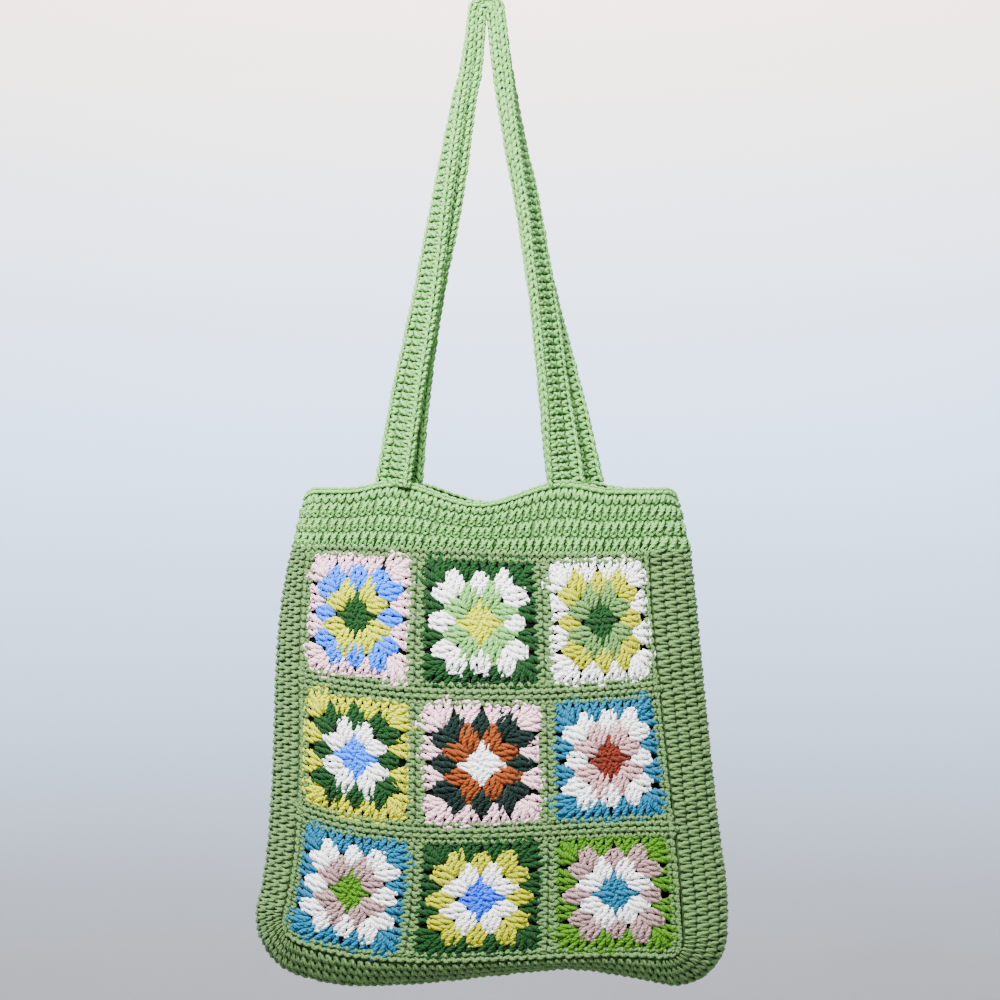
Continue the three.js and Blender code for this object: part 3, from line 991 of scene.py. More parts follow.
DOUBLE = Stitch(
    "double_crochet",
    width=5.9,
    height=10.7,
    strands=(
        Strand(
            (
                (-0.36, 0.05, -1.3),
                (-0.27, 0.2, -0.1),
                (0.03, 0.5, 0.0),
                (0.3, 0.78, -0.7),
                (0.44, 0.97, -1.9),
            ),
            thickness=1.15,
        ),
        Strand(
            (
                (0.36, 0.05, -1.4),
                (0.29, 0.2, -0.4),
                (0.1, 0.5, -1.3),
                (-0.2, 0.78, -0.8),
                (-0.44, 0.97, -1.9),
            ),
            thickness=1.1,
        ),
        Strand(((-0.42, 0.5, -2.1), (-0.14, 0.57, 0.0), (0.16, 0.68, 0.0), (0.42, 0.7, -2.1)), 0.85, 3),
        Strand(((-0.44, 0.16, -2.0), (-0.16, 0.03, -0.4), (0.18, 0.03, -0.4), (0.44, 0.16, -2.0)), 1.0, 3),
    ),
)
SINGLE = Stitch(
    "single_crochet",
    width=5.9,
    height=5.2,
    strands=(
        Strand(((-0.4, 0.98, -2.0), (-0.31, 0.72, -0.5), (-0.14, 0.32, 0.0), (-0.02, 0.0, -1.1)), 1.32),
        Strand(((0.42, 0.98, -2.1), (0.33, 0.74, -0.8), (0.18, 0.34, -0.5), (0.04, 0.0, -1.2)), 1.15),
        Strand(((-0.4, 0.3, -2.0), (-0.15, 0.08, -0.4), (0.17, 0.08, -0.5), (0.4, 0.3, -2.0)), 0.95, 3),
    ),
)
CHAIN = Stitch(
    "chain_loop",
    width=5.9,
    height=5.0,
    strands=(
        Strand(((-0.72, 0.04, -1.9), (-0.3, 0.14, -0.3), (0.2, 0.3, 0.0), (0.62, 0.46, -1.2)), 1.08),
        Strand(((-0.72, -0.04, -1.9), (-0.3, -0.14, -0.3), (0.2, -0.3, 0.0), (0.62, -0.46, -1.2)), 1.08),
    ),
)
BEAD = Stitch(
    "bead",
    width=5.9,
    height=3.0,
    strands=(
        Strand(((-0.46, -0.4, -2.3), (-0.22, -0.16, -0.2), (0.18, 0.14, 0.1), (0.44, 0.4, -2.0)), 1.4),
    ),
)
CORD = Stitch(
    "cord_loop",
    width=5.9,
    height=3.0,
    strands=(
        Strand(((-0.8, -0.16, -1.4), (-0.3, -0.06, -0.1), (0.3, 0.08, 0.1), (0.8, 0.2, -1.4)), 1.3),
    ),
)
PLAIT = Stitch(
    "plait_over",
    width=5.9,
    height=3.0,
    strands=(
        Strand(((-0.74, -0.4, -1.6), (-0.3, -0.16, -0.1), (0.3, 0.16, 0.1), (0.74, 0.4, -1.6)), 1.22),
    ),
)
PLAIT_UNDER = Stitch(
    "plait_under",
    width=5.9,
    height=3.0,
    strands=(
        Strand(((-0.74, 0.4, -1.6), (-0.3, 0.16, -0.1), (0.3, -0.16, 0.1), (0.74, -0.4, -1.6)), 1.35),
    ),
)
POST = Stitch(
    "petal_stitch",
    width=1.0,
    height=1.0,
    strands=(
        Strand(((0.0, 0.0, -2.8), (0.0, 0.3, -2.3), (0.0, 0.65, -2.2), (0.0, 0.95, -2.7)), 1.6, 3),
        Strand(
            (
                (0.3, 0.0, -2.3),
                (0.3, 0.2, -1.2),
                (-0.05, 0.5, -1.0),
                (-0.3, 0.78, -1.1),
                (-0.36, 0.99, -2.2),
            ),
        ),
        Strand(((-0.52, 0.0, -1.9), (-0.26, 0.17, -0.6), (0.2, 0.47, -0.4), (0.52, 0.68, -1.7)), 1.3),
        Strand(((-0.54, 0.33, -1.9), (-0.26, 0.5, -0.6), (0.2, 0.8, -0.4), (0.46, 0.98, -1.8)), 1.3),
        Strand(((-0.56, 0.98, -2.2), (-0.3, 0.94, -0.8), (0.3, 1.0, -0.9), (0.58, 1.03, -2.2)), 1.05, 3),
    ),
)


class Spot(NamedTuple):
    """A stitch on flat cloth: the middle of its foot, its turn, and its stretch."""

    x: float
    y: float
    turn: float = 0.0
    wide: float = 1.0
    tall: float = 1.0
    lift: float = 0.0


@dataclass
class StitchPlan:
    """Where the stitches of one pattern and one yarn go on flat cloth."""

    stitch: Stitch
    yarn: Yarn
    spots: list[Spot] = field(default_factory=list)
    wander: float = 0.3
    tilt_degrees: float = 4.5
    unevenness: float = 0.07

    def row(
        self,
        start: tuple[float, float],
        stop: tuple[float, float],
        tall: float = 1.0,
        shift: float = 0.0,
    ) -> None:
        """Work a row of stitches that stands to the left of its direction.

        Args:
            start: Where the row's foot starts.
            stop: Where it stops.
            tall: The stitches' height, as a share of the pattern's.
            shift: How far the row starts late, as a share of a stitch.
        """
        dx, dy = stop[0] - start[0], stop[1] - start[1]
        length = math.hypot(dx, dy)
        count = max(round(length / self.stitch.width), 1)
        turn = math.atan2(dy, dx)
        wide = length / count / self.stitch.width
        for i in range(count):
            t = (i + 0.5 + shift) / count
            self.spots.append(Spot(start[0] + dx * t, start[1] + dy * t, turn, wide, tall))

    def between(self, foot: Points, head: Points, lift: float) -> None:
        """Set one stitch from its foot to its head."""
        dx, dy = head[0] - foot[0], head[1] - foot[1]
        tall = math.hypot(dx, dy) / self.stitch.height
        turn = math.atan2(dy, dx) - math.pi / 2
        self.spots.append(Spot(foot[0], foot[1], turn, 1.0, tall, lift))


class StitchSetter:
    """A Geometry Nodes tree that sets a stitch's mesh at each spot of a plan."""

    def __init__(self) -> None:
        """Build the tree once, for all pieces."""
        self.tree = bpy.data.node_groups.new("set_stitches", "GeometryNodeTree")
        self.identifiers: dict[str, str] = {}
        inputs = {
            "Geometry": "NodeSocketGeometry",
            "Stitch": "NodeSocketObject",
            "Yarn": "NodeSocketMaterial",
            "Wander": "NodeSocketFloat",
            "Tilt": "NodeSocketFloat",
            "Unevenness": "NodeSocketFloat",
            "Seed": "NodeSocketInt",
        }
        for name, kind in inputs.items():
            made = self.tree.interface.new_socket(name, in_out="INPUT", socket_type=kind)
            self.identifiers[name] = made.identifier
        self.tree.interface.new_socket("Geometry", in_out="OUTPUT", socket_type="NodeSocketGeometry")
        self.given = self.tree.nodes.new("NodeGroupInput")
        self._build()

    def _node(
        self,
        kind: str,
        settings: Mapping[str, object] | None = None,
        values: Mapping[int | str, object] | None = None,
    ) -> bpy.types.Node:
        """Add a node.

        Args:
            kind: The node's type.
            settings: Its own settings, which are set first.
            values: For its inputs by place or name, a socket to link or a value.

        Returns:
            The node.
        """
        made = self.tree.nodes.new(kind)
        for name, value in (settings or {}).items():
            setattr(made, name, value)
        for key, value in (values or {}).items():
            if isinstance(value, bpy.types.NodeSocket):
                self.tree.links.new(value, made.inputs[key])
            else:
                made.inputs[key].default_value = value
        return made

    def _attribute(self, name: str, kind: str) -> bpy.types.NodeSocket:
        """Read a named attribute of the spots."""
        made = self._node("GeometryNodeInputNamedAttribute", {"data_type": kind}, {"Name": name})
        return made.outputs[0]

    def _maths(self, operation: str, first: object, second: object) -> bpy.types.NodeSocket:
        """Add a Math node on two values."""
        made = self._node("ShaderNodeMath", {"operation": operation}, {0: first, 1: second})
        return made.outputs[0]

    def _random(self, kind: str, low: object, high: object, seed_shift: int) -> bpy.types.NodeSocket:
        """Draw a random value for each spot.

        Args:
            kind: FLOAT or FLOAT_VECTOR.
            low: The least value.
            high: The greatest.
            seed_shift: Sets this draw apart from the others of the same seed.

        Returns:
            The value.
        """
        seed = self._maths("ADD", self.given.outputs["Seed"], float(seed_shift))
        first = 0 if kind == "FLOAT_VECTOR" else 2
        values = {first: low, first + 1: high, "Seed": seed}
        made = self._node("FunctionNodeRandomValue", {"data_type": kind}, values)
        return made.outputs[0 if kind == "FLOAT_VECTOR" else 1]

    def _build(self) -> None:
        """Link the nodes from the spots to the finished stitches."""
        given = self.given.outputs
        back_tilt = self._maths("MULTIPLY", given["Tilt"], -1.0)
        back_wander = self._maths("MULTIPLY", given["Wander"], -1.0)
        wander = self._random("FLOAT_VECTOR", back_wander, given["Wander"], 1)
        values = {"Geometry": given["Geometry"], "Offset": wander}
        moved = self._node("GeometryNodeSetPosition", values=values)
        shade = self._random("FLOAT", 0.0, 1.0, 2)
        shaded = self._node(
            "GeometryNodeStoreNamedAttribute",
            {"data_type": "FLOAT", "domain": "POINT"},
            {"Geometry": moved.outputs[0], "Name": "shade", "Value": shade},
        )
        tilt = self._random("FLOAT", back_tilt, given["Tilt"], 3)
        turn = self._maths("ADD", self._attribute("turn", "FLOAT"), tilt)
        euler = self._node("ShaderNodeCombineXYZ", values={"Z": turn})
        rotation = self._node("FunctionNodeEulerToRotation", values={0: euler.outputs[0]})
        low = self._maths("SUBTRACT", 1.0, given["Unevenness"])
        high = self._maths("ADD", 1.0, given["Unevenness"])
        size = self._random("FLOAT", low, high, 4)
        stretch = self._node(
            "ShaderNodeVectorMath",
            {"operation": "SCALE"},
            {0: self._attribute("stretch", "FLOAT_VECTOR"), "Scale": size},
        )
        stitch = self._node("GeometryNodeObjectInfo", values={"Object": given["Stitch"]})
        placed = self._node(
            "GeometryNodeInstanceOnPoints",
            values={
                "Points": shaded.outputs[0],
                "Instance": stitch.outputs["Geometry"],
                "Rotation": rotation.outputs[0],
                "Scale": stretch.outputs[0],
            },
        )
        realized = self._node("GeometryNodeRealizeInstances", values={"Geometry": placed.outputs[0]})
        dressed = self._node(
            "GeometryNodeSetMaterial",
            values={"Geometry": realized.outputs[0], "Material": given["Yarn"]},
        )
        self._node("NodeGroupOutput", values={0: dressed.outputs[0]})

    def work(self, plan: StitchPlan, seed: int) -> bpy.types.Mesh:
        """Make a plan's stitches on flat cloth.

        Args:
            plan: What to work, and where.
            seed: For the small differences between stitches.

        Returns:
            One mesh with all of them, in millimetres.
        """
        spots = plan.spots
        cloth = bpy.data.meshes.new("spots")
        cloth.from_pydata([(s.x, s.y, s.lift) for s in spots], [], [])
        turn = cloth.attributes.new("turn", "FLOAT", "POINT")
        turn.data.foreach_set("value", [s.turn for s in spots])
        stretch = cloth.attributes.new("stretch", "FLOAT_VECTOR", "POINT")
        sizes = [(s.wide, s.tall, 1.0) for s in spots]
        stretch.data.foreach_set("vector", np.array(sizes).ravel())
        holder = bpy.data.objects.new("spots", cloth)
        pattern = bpy.data.objects.new(plan.stitch.name, plan.stitch.mesh())
        for item in (holder, pattern):
            bpy.context.scene.collection.objects.link(item)
        modifier = holder.modifiers.new("stitches", "NODES")
        modifier.node_group = self.tree
        given = {
            "Stitch": pattern,
            "Yarn": plan.yarn.material(),
            "Wander": plan.wander,
            "Tilt": math.radians(plan.tilt_degrees),
            "Unevenness": plan.unevenness,
            "Seed": seed,
        }
        for name, value in given.items():
            modifier[self.identifiers[name]] = value
        graph = bpy.context.evaluated_depsgraph_get()
        graph.update()
        made = bpy.data.meshes.new_from_object(
            holder.evaluated_get(graph), preserve_all_data_layers=True, depsgraph=graph
        )
        for item in (holder, pattern):
            bpy.data.objects.remove(item)
        return made


def bend(mesh: bpy.types.Mesh, place: Placer) -> None:
    """Bend a flat mesh onto the bag.

    Args:
        mesh: The mesh, in millimetres on flat cloth, which becomes metres on the bag.
        place: Turns points of flat cloth into points of the bag.
    """
    flat = np.zeros(len(mesh.vertices) * 3, np.float32)
    mesh.vertices.foreach_get("co", flat)
    flat = flat.reshape(-1, 3).astype(float)
    relief = mesh.attributes.new("relief", "FLOAT", "POINT")
    relief.data.foreach_set("value", flat[:, 2].astype(np.float32))
    bent = place(flat) * MM
    mesh.vertices.foreach_set("co", bent.astype(np.float32).ravel())
    mesh.update()


class Crochet:
    """A piece of crochet: worked stitches over a backing that fills between them, painted dark as shade.
    """

    setter: StitchSetter

    def __init__(self, name: str, yarn: Yarn, seed: int) -> None:
        """Start a piece of this name over the frame's node of the same name."""
        self.name = name
        self.yarn = yarn
        self.seed = seed
        self.parts: list[bpy.types.Object] = []

    def _keep(self, mesh: bpy.types.Mesh) -> None:
        """Add a finished mesh to the piece."""
        part = bpy.data.objects.new(f"{self.name}_part", mesh)
        bpy.context.scene.collection.objects.link(part)
        self.parts.append(part)

    def work(self, plan: StitchPlan, place: Placer) -> None:
        """Work a plan's stitches and bend them onto the bag."""
        if not plan.spots:
            return
        self.seed += 1
        mesh = Crochet.setter.work(plan, self.seed)
        bend(mesh, place)
        self._keep(mesh)

    def back(self, inset: float, yarn: Yarn | None = None, reshape: Placer | None = None) -> None:
        """Fill behind the stitches with a copy of the node, drawn in from its two faces, in painted shade.

        Args:
            inset: How far each face is drawn in, in millimetres.
            yarn: Its yarn, where that isn't the piece's own.
            reshape: Moves its corners, in millimetres, where it isn't shaped as the node is.
        """
        shell = bmesh.new()
        shell.from_mesh(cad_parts[self.name].data)
        bmesh.ops.remove_doubles(shell, verts=shell.verts, dist=MERGE_REACH)
        shell.normal_update()
        inward = {}
        for corner in shell.verts:
            pulls = (face.normal * face.calc_area() ** 2 for face in corner.link_faces)
            facing = sum(pulls, Vector())
            inward[corner] = facing.normalized() * (inset * MM)
        for corner, step in inward.items():
            corner.co -= step
        if reshape:
            places = reshape(np.array([corner.co for corner in shell.verts]) / MM)
            for corner, at in zip(shell.verts, places):
                corner.co = Vector(at) * MM
        mesh = bpy.data.meshes.new(f"{self.name}_backing")
        shell.to_mesh(mesh)
        shell.free()
        mesh.materials.clear()
        # The backing's material is painted shade.
        mesh.materials.append(ShadedBacking(yarn or self.yarn).material())
        mesh.polygons.foreach_set("material_index", [0] * len(mesh.polygons))
        mesh.polygons.foreach_set("use_smooth", [True] * len(mesh.polygons))
        self._keep(mesh)

    def finish(self) -> bpy.types.Object:
        """Join the parts into one object in place of the node, and report it."""
        first = self.parts[0]
        chosen = {
            "active_object": first,
            "object": first,
            "selected_objects": self.parts,
            "selected_editable_objects": self.parts,
        }
        with bpy.context.temp_override(**chosen):
            bpy.ops.object.join()
        first.name = f"{self.name}_crochet"
        first.data.name = first.name
        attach(first, "root")
        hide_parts(self.name)
        triangles = sum(len(face.vertices) - 2 for face in first.data.polygons)
        LOG.info("%s: %d triangles", first.name, triangles)
        return first


# The bag's pieces


@dataclass
class FrontGrid:
    """The green rows between and around the squares."""

    bag: BagShape
    inset: float = 1.7
    overlap: float = 1.5
    seam_gap: float = 1.3
    bead_gap: float = 1.9
    seed: int = 100

    def place(self, flat: Points) -> Points:
        """Bend the panel's flat cloth onto the front of the bag."""
        at, out = self.bag.panel(
            flat[:, 0] / self.bag.pitch_across, -flat[:, 1] / self.bag.pitch_down, FRONT
        )
        return at + out * flat[:, 2:]

    def build(self) -> bpy.types.Object:
        """Work the rows and return the finished piece."""
        bag, count = self.bag, self.bag.squares
        # The grid's yarn is the sage darkened as painted shade.
        yarn = YarnColour.DENSE_SAGE.value
        piece = Crochet("green_grid", yarn, self.seed)
        plan = StitchPlan(SINGLE, yarn)
        for line in range(count + 1):
            self._join_across(plan, line)
        for column in range(count):
            for row in range(count):
                self._sides(plan, bag.window(column, row), column)
        piece.work(plan, self.place)
        piece.work(self._beads(), self.place)
        piece.back(self.inset)
        return piece.finish()

    def _join_across(self, plan: StitchPlan, line: int) -> None:
        """Work the rows of one line that runs the whole way across.

        Args:
            plan: Where the stitches go.
            line: The line, from 0 at the band to 3 at the foot.
        """
        bag = self.bag
        y = -line * bag.pitch_down
        width = bag.panel_width
        if line == 0:
            half = bag.join_height / 2 + self.overlap
            step = half / 2
            for row in range(2):
                low = y - half + row * step
                plan.row((0, low), (width, low), step / plan.stitch.height)
        elif line == bag.squares:
            high = y + bag.foot_border + self.overlap
            step = (bag.foot_border + self.overlap - self.seam_gap) / 2
            for row in range(2):
                foot = high - row * step
                plan.row((width, foot), (0, foot), step / plan.stitch.height)
        else:
            half = bag.join_height / 2 + self.overlap
            step = half / 2
            tall = step / plan.stitch.height
            for row in range(2):
                low, high = y - half + row * step, y + half - row * step
                plan.row((0, low), (width, low), tall, shift=HALF_STITCH * row)
                plan.row((width, high), (0, high), tall, shift=HALF_STITCH * row)

    def _beads(self) -> StitchPlan:
        """Plan the loops that lie along the joins' seams and the outer edge."""
        bag, gap = self.bag, self.bead_gap
        # The beads take the same sage darkened as painted shade.
        plan = StitchPlan(BEAD, YarnColour.DENSE_SAGE.value)
        width, foot = bag.panel_width, -bag.panel_height
        edge = self.seam_gap + gap
        for line in range(1, bag.squares):
            x, y = line * bag.pitch_across, -line * bag.pitch_down
            plan.row((0, y - gap), (width, y - gap))
            plan.row((width, y + gap), (0, y + gap))
            for row in range(bag.squares):
                window = bag.window(line, row)
                plan.row((x - gap, window.bottom), (x - gap, window.top))
                plan.row((x + gap, window.top), (x + gap, window.bottom), shift=HALF_STITCH)
        plan.row((edge, foot + edge), (width - edge, foot + edge))
        plan.row((edge, 0), (edge, foot + edge))
        plan.row((width - edge, foot + edge), (width - edge, 0))
        return plan

    def _sides(self, plan: StitchPlan, window: Window, column: int) -> None:
        """Work the rows up both sides of one square.

        Args:
            plan: Where the stitches go.
            window: The square's place.
            column: The square's column, from 0 on the left.
        """
        bag = self.bag
        for edge, sign in ((window.left, -1), (window.right, 1)):
            outer = column == 0 if sign < 0 else column == bag.squares - 1
            reach = bag.side_border - self.seam_gap if outer else bag.join_width / 2
            rows = 2 if outer else 1
            step = (reach + self.overlap) / rows
            low, high = (window.bottom, window.top)
            late = HALF_STITCH if sign > 0 else 0.0
            for row in range(rows):
                x = edge + sign * (row * step - self.overlap)
                ends = ((x, low), (x, high)) if sign < 0 else ((x, high), (x, low))
                plan.row(*ends, tall=step / plan.stitch.height, shift=late)


class Group(NamedTuple):
    """A group of three stitches on the square's chart: its middle foot and its head."""

    foot_x: float
    foot_y: float
    head_x: float
    head_y: float


ROUND_GROUPS = (
    (Group(0.0, -1.6, 0.0, 15.2),),
    (Group(6.4, 7.8, 9.2, 24.8), Group(7.8, 6.4, 24.8, 9.2)),
    (Group(0.0, 16.2, 0.0, 33.0), Group(15.2, 16.2, 18.6, 32.8), Group(16.2, 15.2, 32.8, 18.6)),
    (
        Group(-24.4, 25.2, -30.8, 41.2),
        Group(-9.4, 25.2, -10.0, 41.2),
        Group(9.4, 25.2, 10.0, 41.2),
        Group(24.4, 25.2, 30.8, 41.2),
    ),
)
QUARTER_TURNS = ((1, 0), (0, 1), (-1, 0), (0, -1))


@dataclass
class GrannySquare:
    """A granny square of four rounds, with three double crochets in every group.

    The chart is a square with its middle at 0 and a half of chart_half. ROUND_GROUPS lists
    one quarter of each round, and QUARTER_TURNS set it four times.
    """

    bag: BagShape
    name: str
    column: int
    row: int
    rounds: tuple[YarnColour, YarnColour, YarnColour, YarnColour]
    inset: float = 2.0
    chart_half: float = 40.0
    petals: tuple[Petal, Petal, Petal, Petal] = (
        Petal(length=16.8, foot=8.0, middle=14.6, head=6.6),
        Petal(length=17.2, foot=7.4, middle=13.8, head=10.6, crown=1.4),
        Petal(length=17.0, foot=7.2, middle=14.6, head=10.4, crown=1.4),
        Petal(length=16.2, foot=6.0, middle=15.6, head=21.4),
    )
    lifts: tuple[float, float, float, float] = (0.0, 0.45, 0.2, -0.3)
    first_seed: int = 200
    seed_step: int = 20
    stray: float = 0.55
    tilt_degrees: float = 1.2
    length_play: float = 0.05

    def build(self) -> bpy.types.Object:
        """Work the four rounds and return the finished piece."""
        number = self.bag.squares * self.row + self.column
        seed = self.first_seed + self.seed_step * number
        piece = Crochet(self.name, self.rounds[-1].value, seed)
        place = FrontGrid(self.bag).place
        hand = np.random.default_rng(piece.seed)
        for round_, colour in enumerate(self.rounds):
            spots = self._spots(round_, hand)
            for index in (-1, 0, 1):
                stitch = POST.fanned(f"round_{round_ + 1}_stitch", self.petals[round_], index)
                plan = StitchPlan(stitch, colour.value, tilt_degrees=self.tilt_degrees)
                for foot, head in spots:
                    plan.between(foot, head, self.lifts[round_])
                piece.work(plan, place)
        # The squares' backing is painted as the shadow in their holes.
        piece.back(self.inset, HOLE_SHADOW)
        return piece.finish()

    def _spots(self, round_: int, hand: np.random.Generator) -> list[tuple[Points, Points]]:
        """Lay out one round on flat cloth, with the small strays of handwork.

        Args:
            round_: The round, from 0 in the middle.
            hand: Gives the strays.

        Returns:
            The foot and the head of each group.
        """
        window = self.bag.window(self.column, self.row)
        half = np.array([window.right - window.left, window.top - window.bottom]) / 2
        middle = np.array([window.left, window.bottom]) + half
        spots = []
        for cos, sin in QUARTER_TURNS:
            turn = np.array([[cos, sin], [-sin, cos]])
            for group in ROUND_GROUPS[round_]:
                foot = np.array([group.foot_x, group.foot_y])
                head = np.array([group.head_x, group.head_y])
                head = foot + (head - foot) * (1 + hand.normal(0, self.length_play))
                head = head + hand.normal(0, self.stray, 2)
                ends = [middle + turn @ end * half / self.chart_half for end in (foot, head)]
                spots.append((ends[0], ends[1]))
        return spots


@dataclass
class BackPanel:
    """The plain back, in rows of double crochet."""

    bag: BagShape
    inset: float = 1.7
    seed: int = 300

    def place(self, flat: Points) -> Points:
        """Bend flat cloth onto the back, with x to the left as the front sees it."""
        u = self.bag.squares - flat[:, 0] / self.bag.pitch_across
        at, out = self.bag.panel(u, -flat[:, 1] / self.bag.pitch_down, BACK)
        return at + out * flat[:, 2:]

    def build(self) -> bpy.types.Object:
        """Work the rows and return the finished piece."""
        piece = Crochet("back_panel", YarnColour.SAGE.value, self.seed)
        plan = StitchPlan(DOUBLE, YarnColour.SAGE.value)
        rows = round(self.bag.panel_height / DOUBLE.height)
        step = self.bag.panel_height / rows
        for row in range(rows):
            y = -(row + 1) * step
            plan.row((0, y), (self.bag.panel_width, y), step / DOUBLE.height)
        piece.work(plan, self.place)
        piece.back(self.inset)
        return piece.finish()


@dataclass
class Gusset:
    """The strip round the sides and the bottom, in rows along the seam."""

    bag: BagShape
    rows: int = 9
    seam_gap: float = 1.2
    inset: float = 1.7
    measured_at: float = 2.0
    table_size: int = 400
    seed: int = 400

    def _tables(self) -> tuple[Points, Points, Points, Points]:
        """Measure the strip along its middle and across its swell.

        Returns:
            Lengths along it with the seam's squares there, and lengths across it with
            the shares of the way round there.
        """
        along = np.linspace(0, self.bag.seam_turns, self.table_size)
        middle = self.bag.gusset(along, np.full_like(along, 0.5))[0]
        round_ = np.linspace(0, 1, self.table_size)
        section = self.bag.gusset(np.full_like(round_, self.measured_at), round_)[0]
        return lengths_along(middle), along, lengths_along(section), round_

    def build(self) -> bpy.types.Object:
        """Work the rows and return the finished piece."""
        run, along, climb, round_ = self._tables()

        def place(flat: Points) -> Points:
            """Bend flat cloth onto the gusset, with x back along the seam."""
            at, out = self.bag.gusset(
                np.interp(run[-1] - flat[:, 0], run, along), np.interp(flat[:, 1], climb, round_)
            )
            return at + out * flat[:, 2:]

        # The gusset's yarn is the sage darkened as painted shade.
        yarn = YarnColour.DENSE_SAGE.value
        piece = Crochet("gusset", yarn, self.seed)
        plan = StitchPlan(SINGLE, yarn)
        step = (climb[-1] - 2 * self.seam_gap) / self.rows
        for row in range(self.rows):
            y = self.seam_gap + row * step
            late = HALF_STITCH * (row % 2)
            plan.row((0, y), (run[-1], y), step / SINGLE.height, late)
        piece.work(plan, place)
        piece.back(self.inset)
        return piece.finish()


@dataclass
class MouthBand:
    """The rows round the mouth, with a chain along the rim."""

    bag: BagShape
    double_rows: int = 3
    double_height: float = 11.8
    single_height: float = 7.0
    overlap: float = 1.0
    inset: float = 1.7
    table_size: int = 400
    chain_rise: float = 0.3
    cord_drop: float = 2.0
    corner: float = 10.0
    corner_drop: float = 0.6
    cord_wander: float = 0.1
    cord_tilt: float = 1.0
    whole_turn: float = 0.999999
    seed: int = 500

    def _round_corners(self, at: Points) -> Points:
        """Round the two top corners off, as worn cloth does."""
        bag = self.bag
        inner = bag.rim_width / 2 - self.corner
        share = np.clip((np.abs(at[:, 0] - bag.rim_centre) - inner) / self.corner, 0, 1)
        drop = self.corner * self.corner_drop * (1 - np.sqrt(1 - share * share))
        near_rim = smoothstep(at[:, 2], -bag.rim_drop - 2 * self.corner, -bag.rim_drop)
        rounded = at.copy()
        rounded[:, 2] -= drop * near_rim
        return rounded

    def build(self) -> bpy.types.Object:
        """Work the rows and the rim, and return the finished piece."""
        turn = np.linspace(0, 2 * (self.bag.squares + 1), self.table_size)
        # A full turn would read as none, so the last place stays just short of it.
        run = lengths_along(self.bag.band(turn * self.whole_turn, np.full_like(turn, 0.5))[0])
        height = self.bag.band_height

        def place(flat: Points) -> Points:
            """Bend flat cloth onto the band, with x round the mouth."""
            where = np.interp(np.mod(flat[:, 0], run[-1]), run, turn)
            at, out = self.bag.band(where, flat[:, 1] / height)
            return self._round_corners(at + out * flat[:, 2:])

        def place_rim(flat: Points) -> Points:
            """Lay the chain on the rim, with y across the cloth and z up."""
            where = np.interp(np.mod(flat[:, 0], run[-1]), run, turn)
            at, out = self.bag.band(where, np.ones_like(where))
            inward = self.bag.cloth_thickness / 2 + flat[:, 1]
            at = self._round_corners(at - out * inward[:, None])
            at[:, 2] += flat[:, 2] + self.chain_rise
            return at

        piece = Crochet("mouth_band", YarnColour.SAGE.value, self.seed)
        double = StitchPlan(DOUBLE, YarnColour.SAGE.value)
        single = StitchPlan(SINGLE, YarnColour.SAGE.value)
        chain = StitchPlan(CHAIN, YarnColour.SAGE.value)
        for row in range(self.double_rows):
            y = row * self.double_height - self.overlap
            late = HALF_STITCH * (row % 2)
            double.row((0, y), (run[-1], y), self.double_height / DOUBLE.height, late)
        y = self.double_rows * self.double_height - self.overlap
        single.row((0, y), (run[-1], y), self.single_height / SINGLE.height)
        cord = StitchPlan(
            CORD, YarnColour.SAGE.value, wander=self.cord_wander, tilt_degrees=self.cord_tilt
        )
        chain.row((0, 0), (run[-1], 0))
        cord.row((0, height - self.cord_drop), (run[-1], height - self.cord_drop))
        piece.work(double, place)
        piece.work(single, place)
        piece.work(cord, place)
        piece.work(chain, place_rim)
        piece.back(self.inset, reshape=self._round_corners)
        return piece.finish()


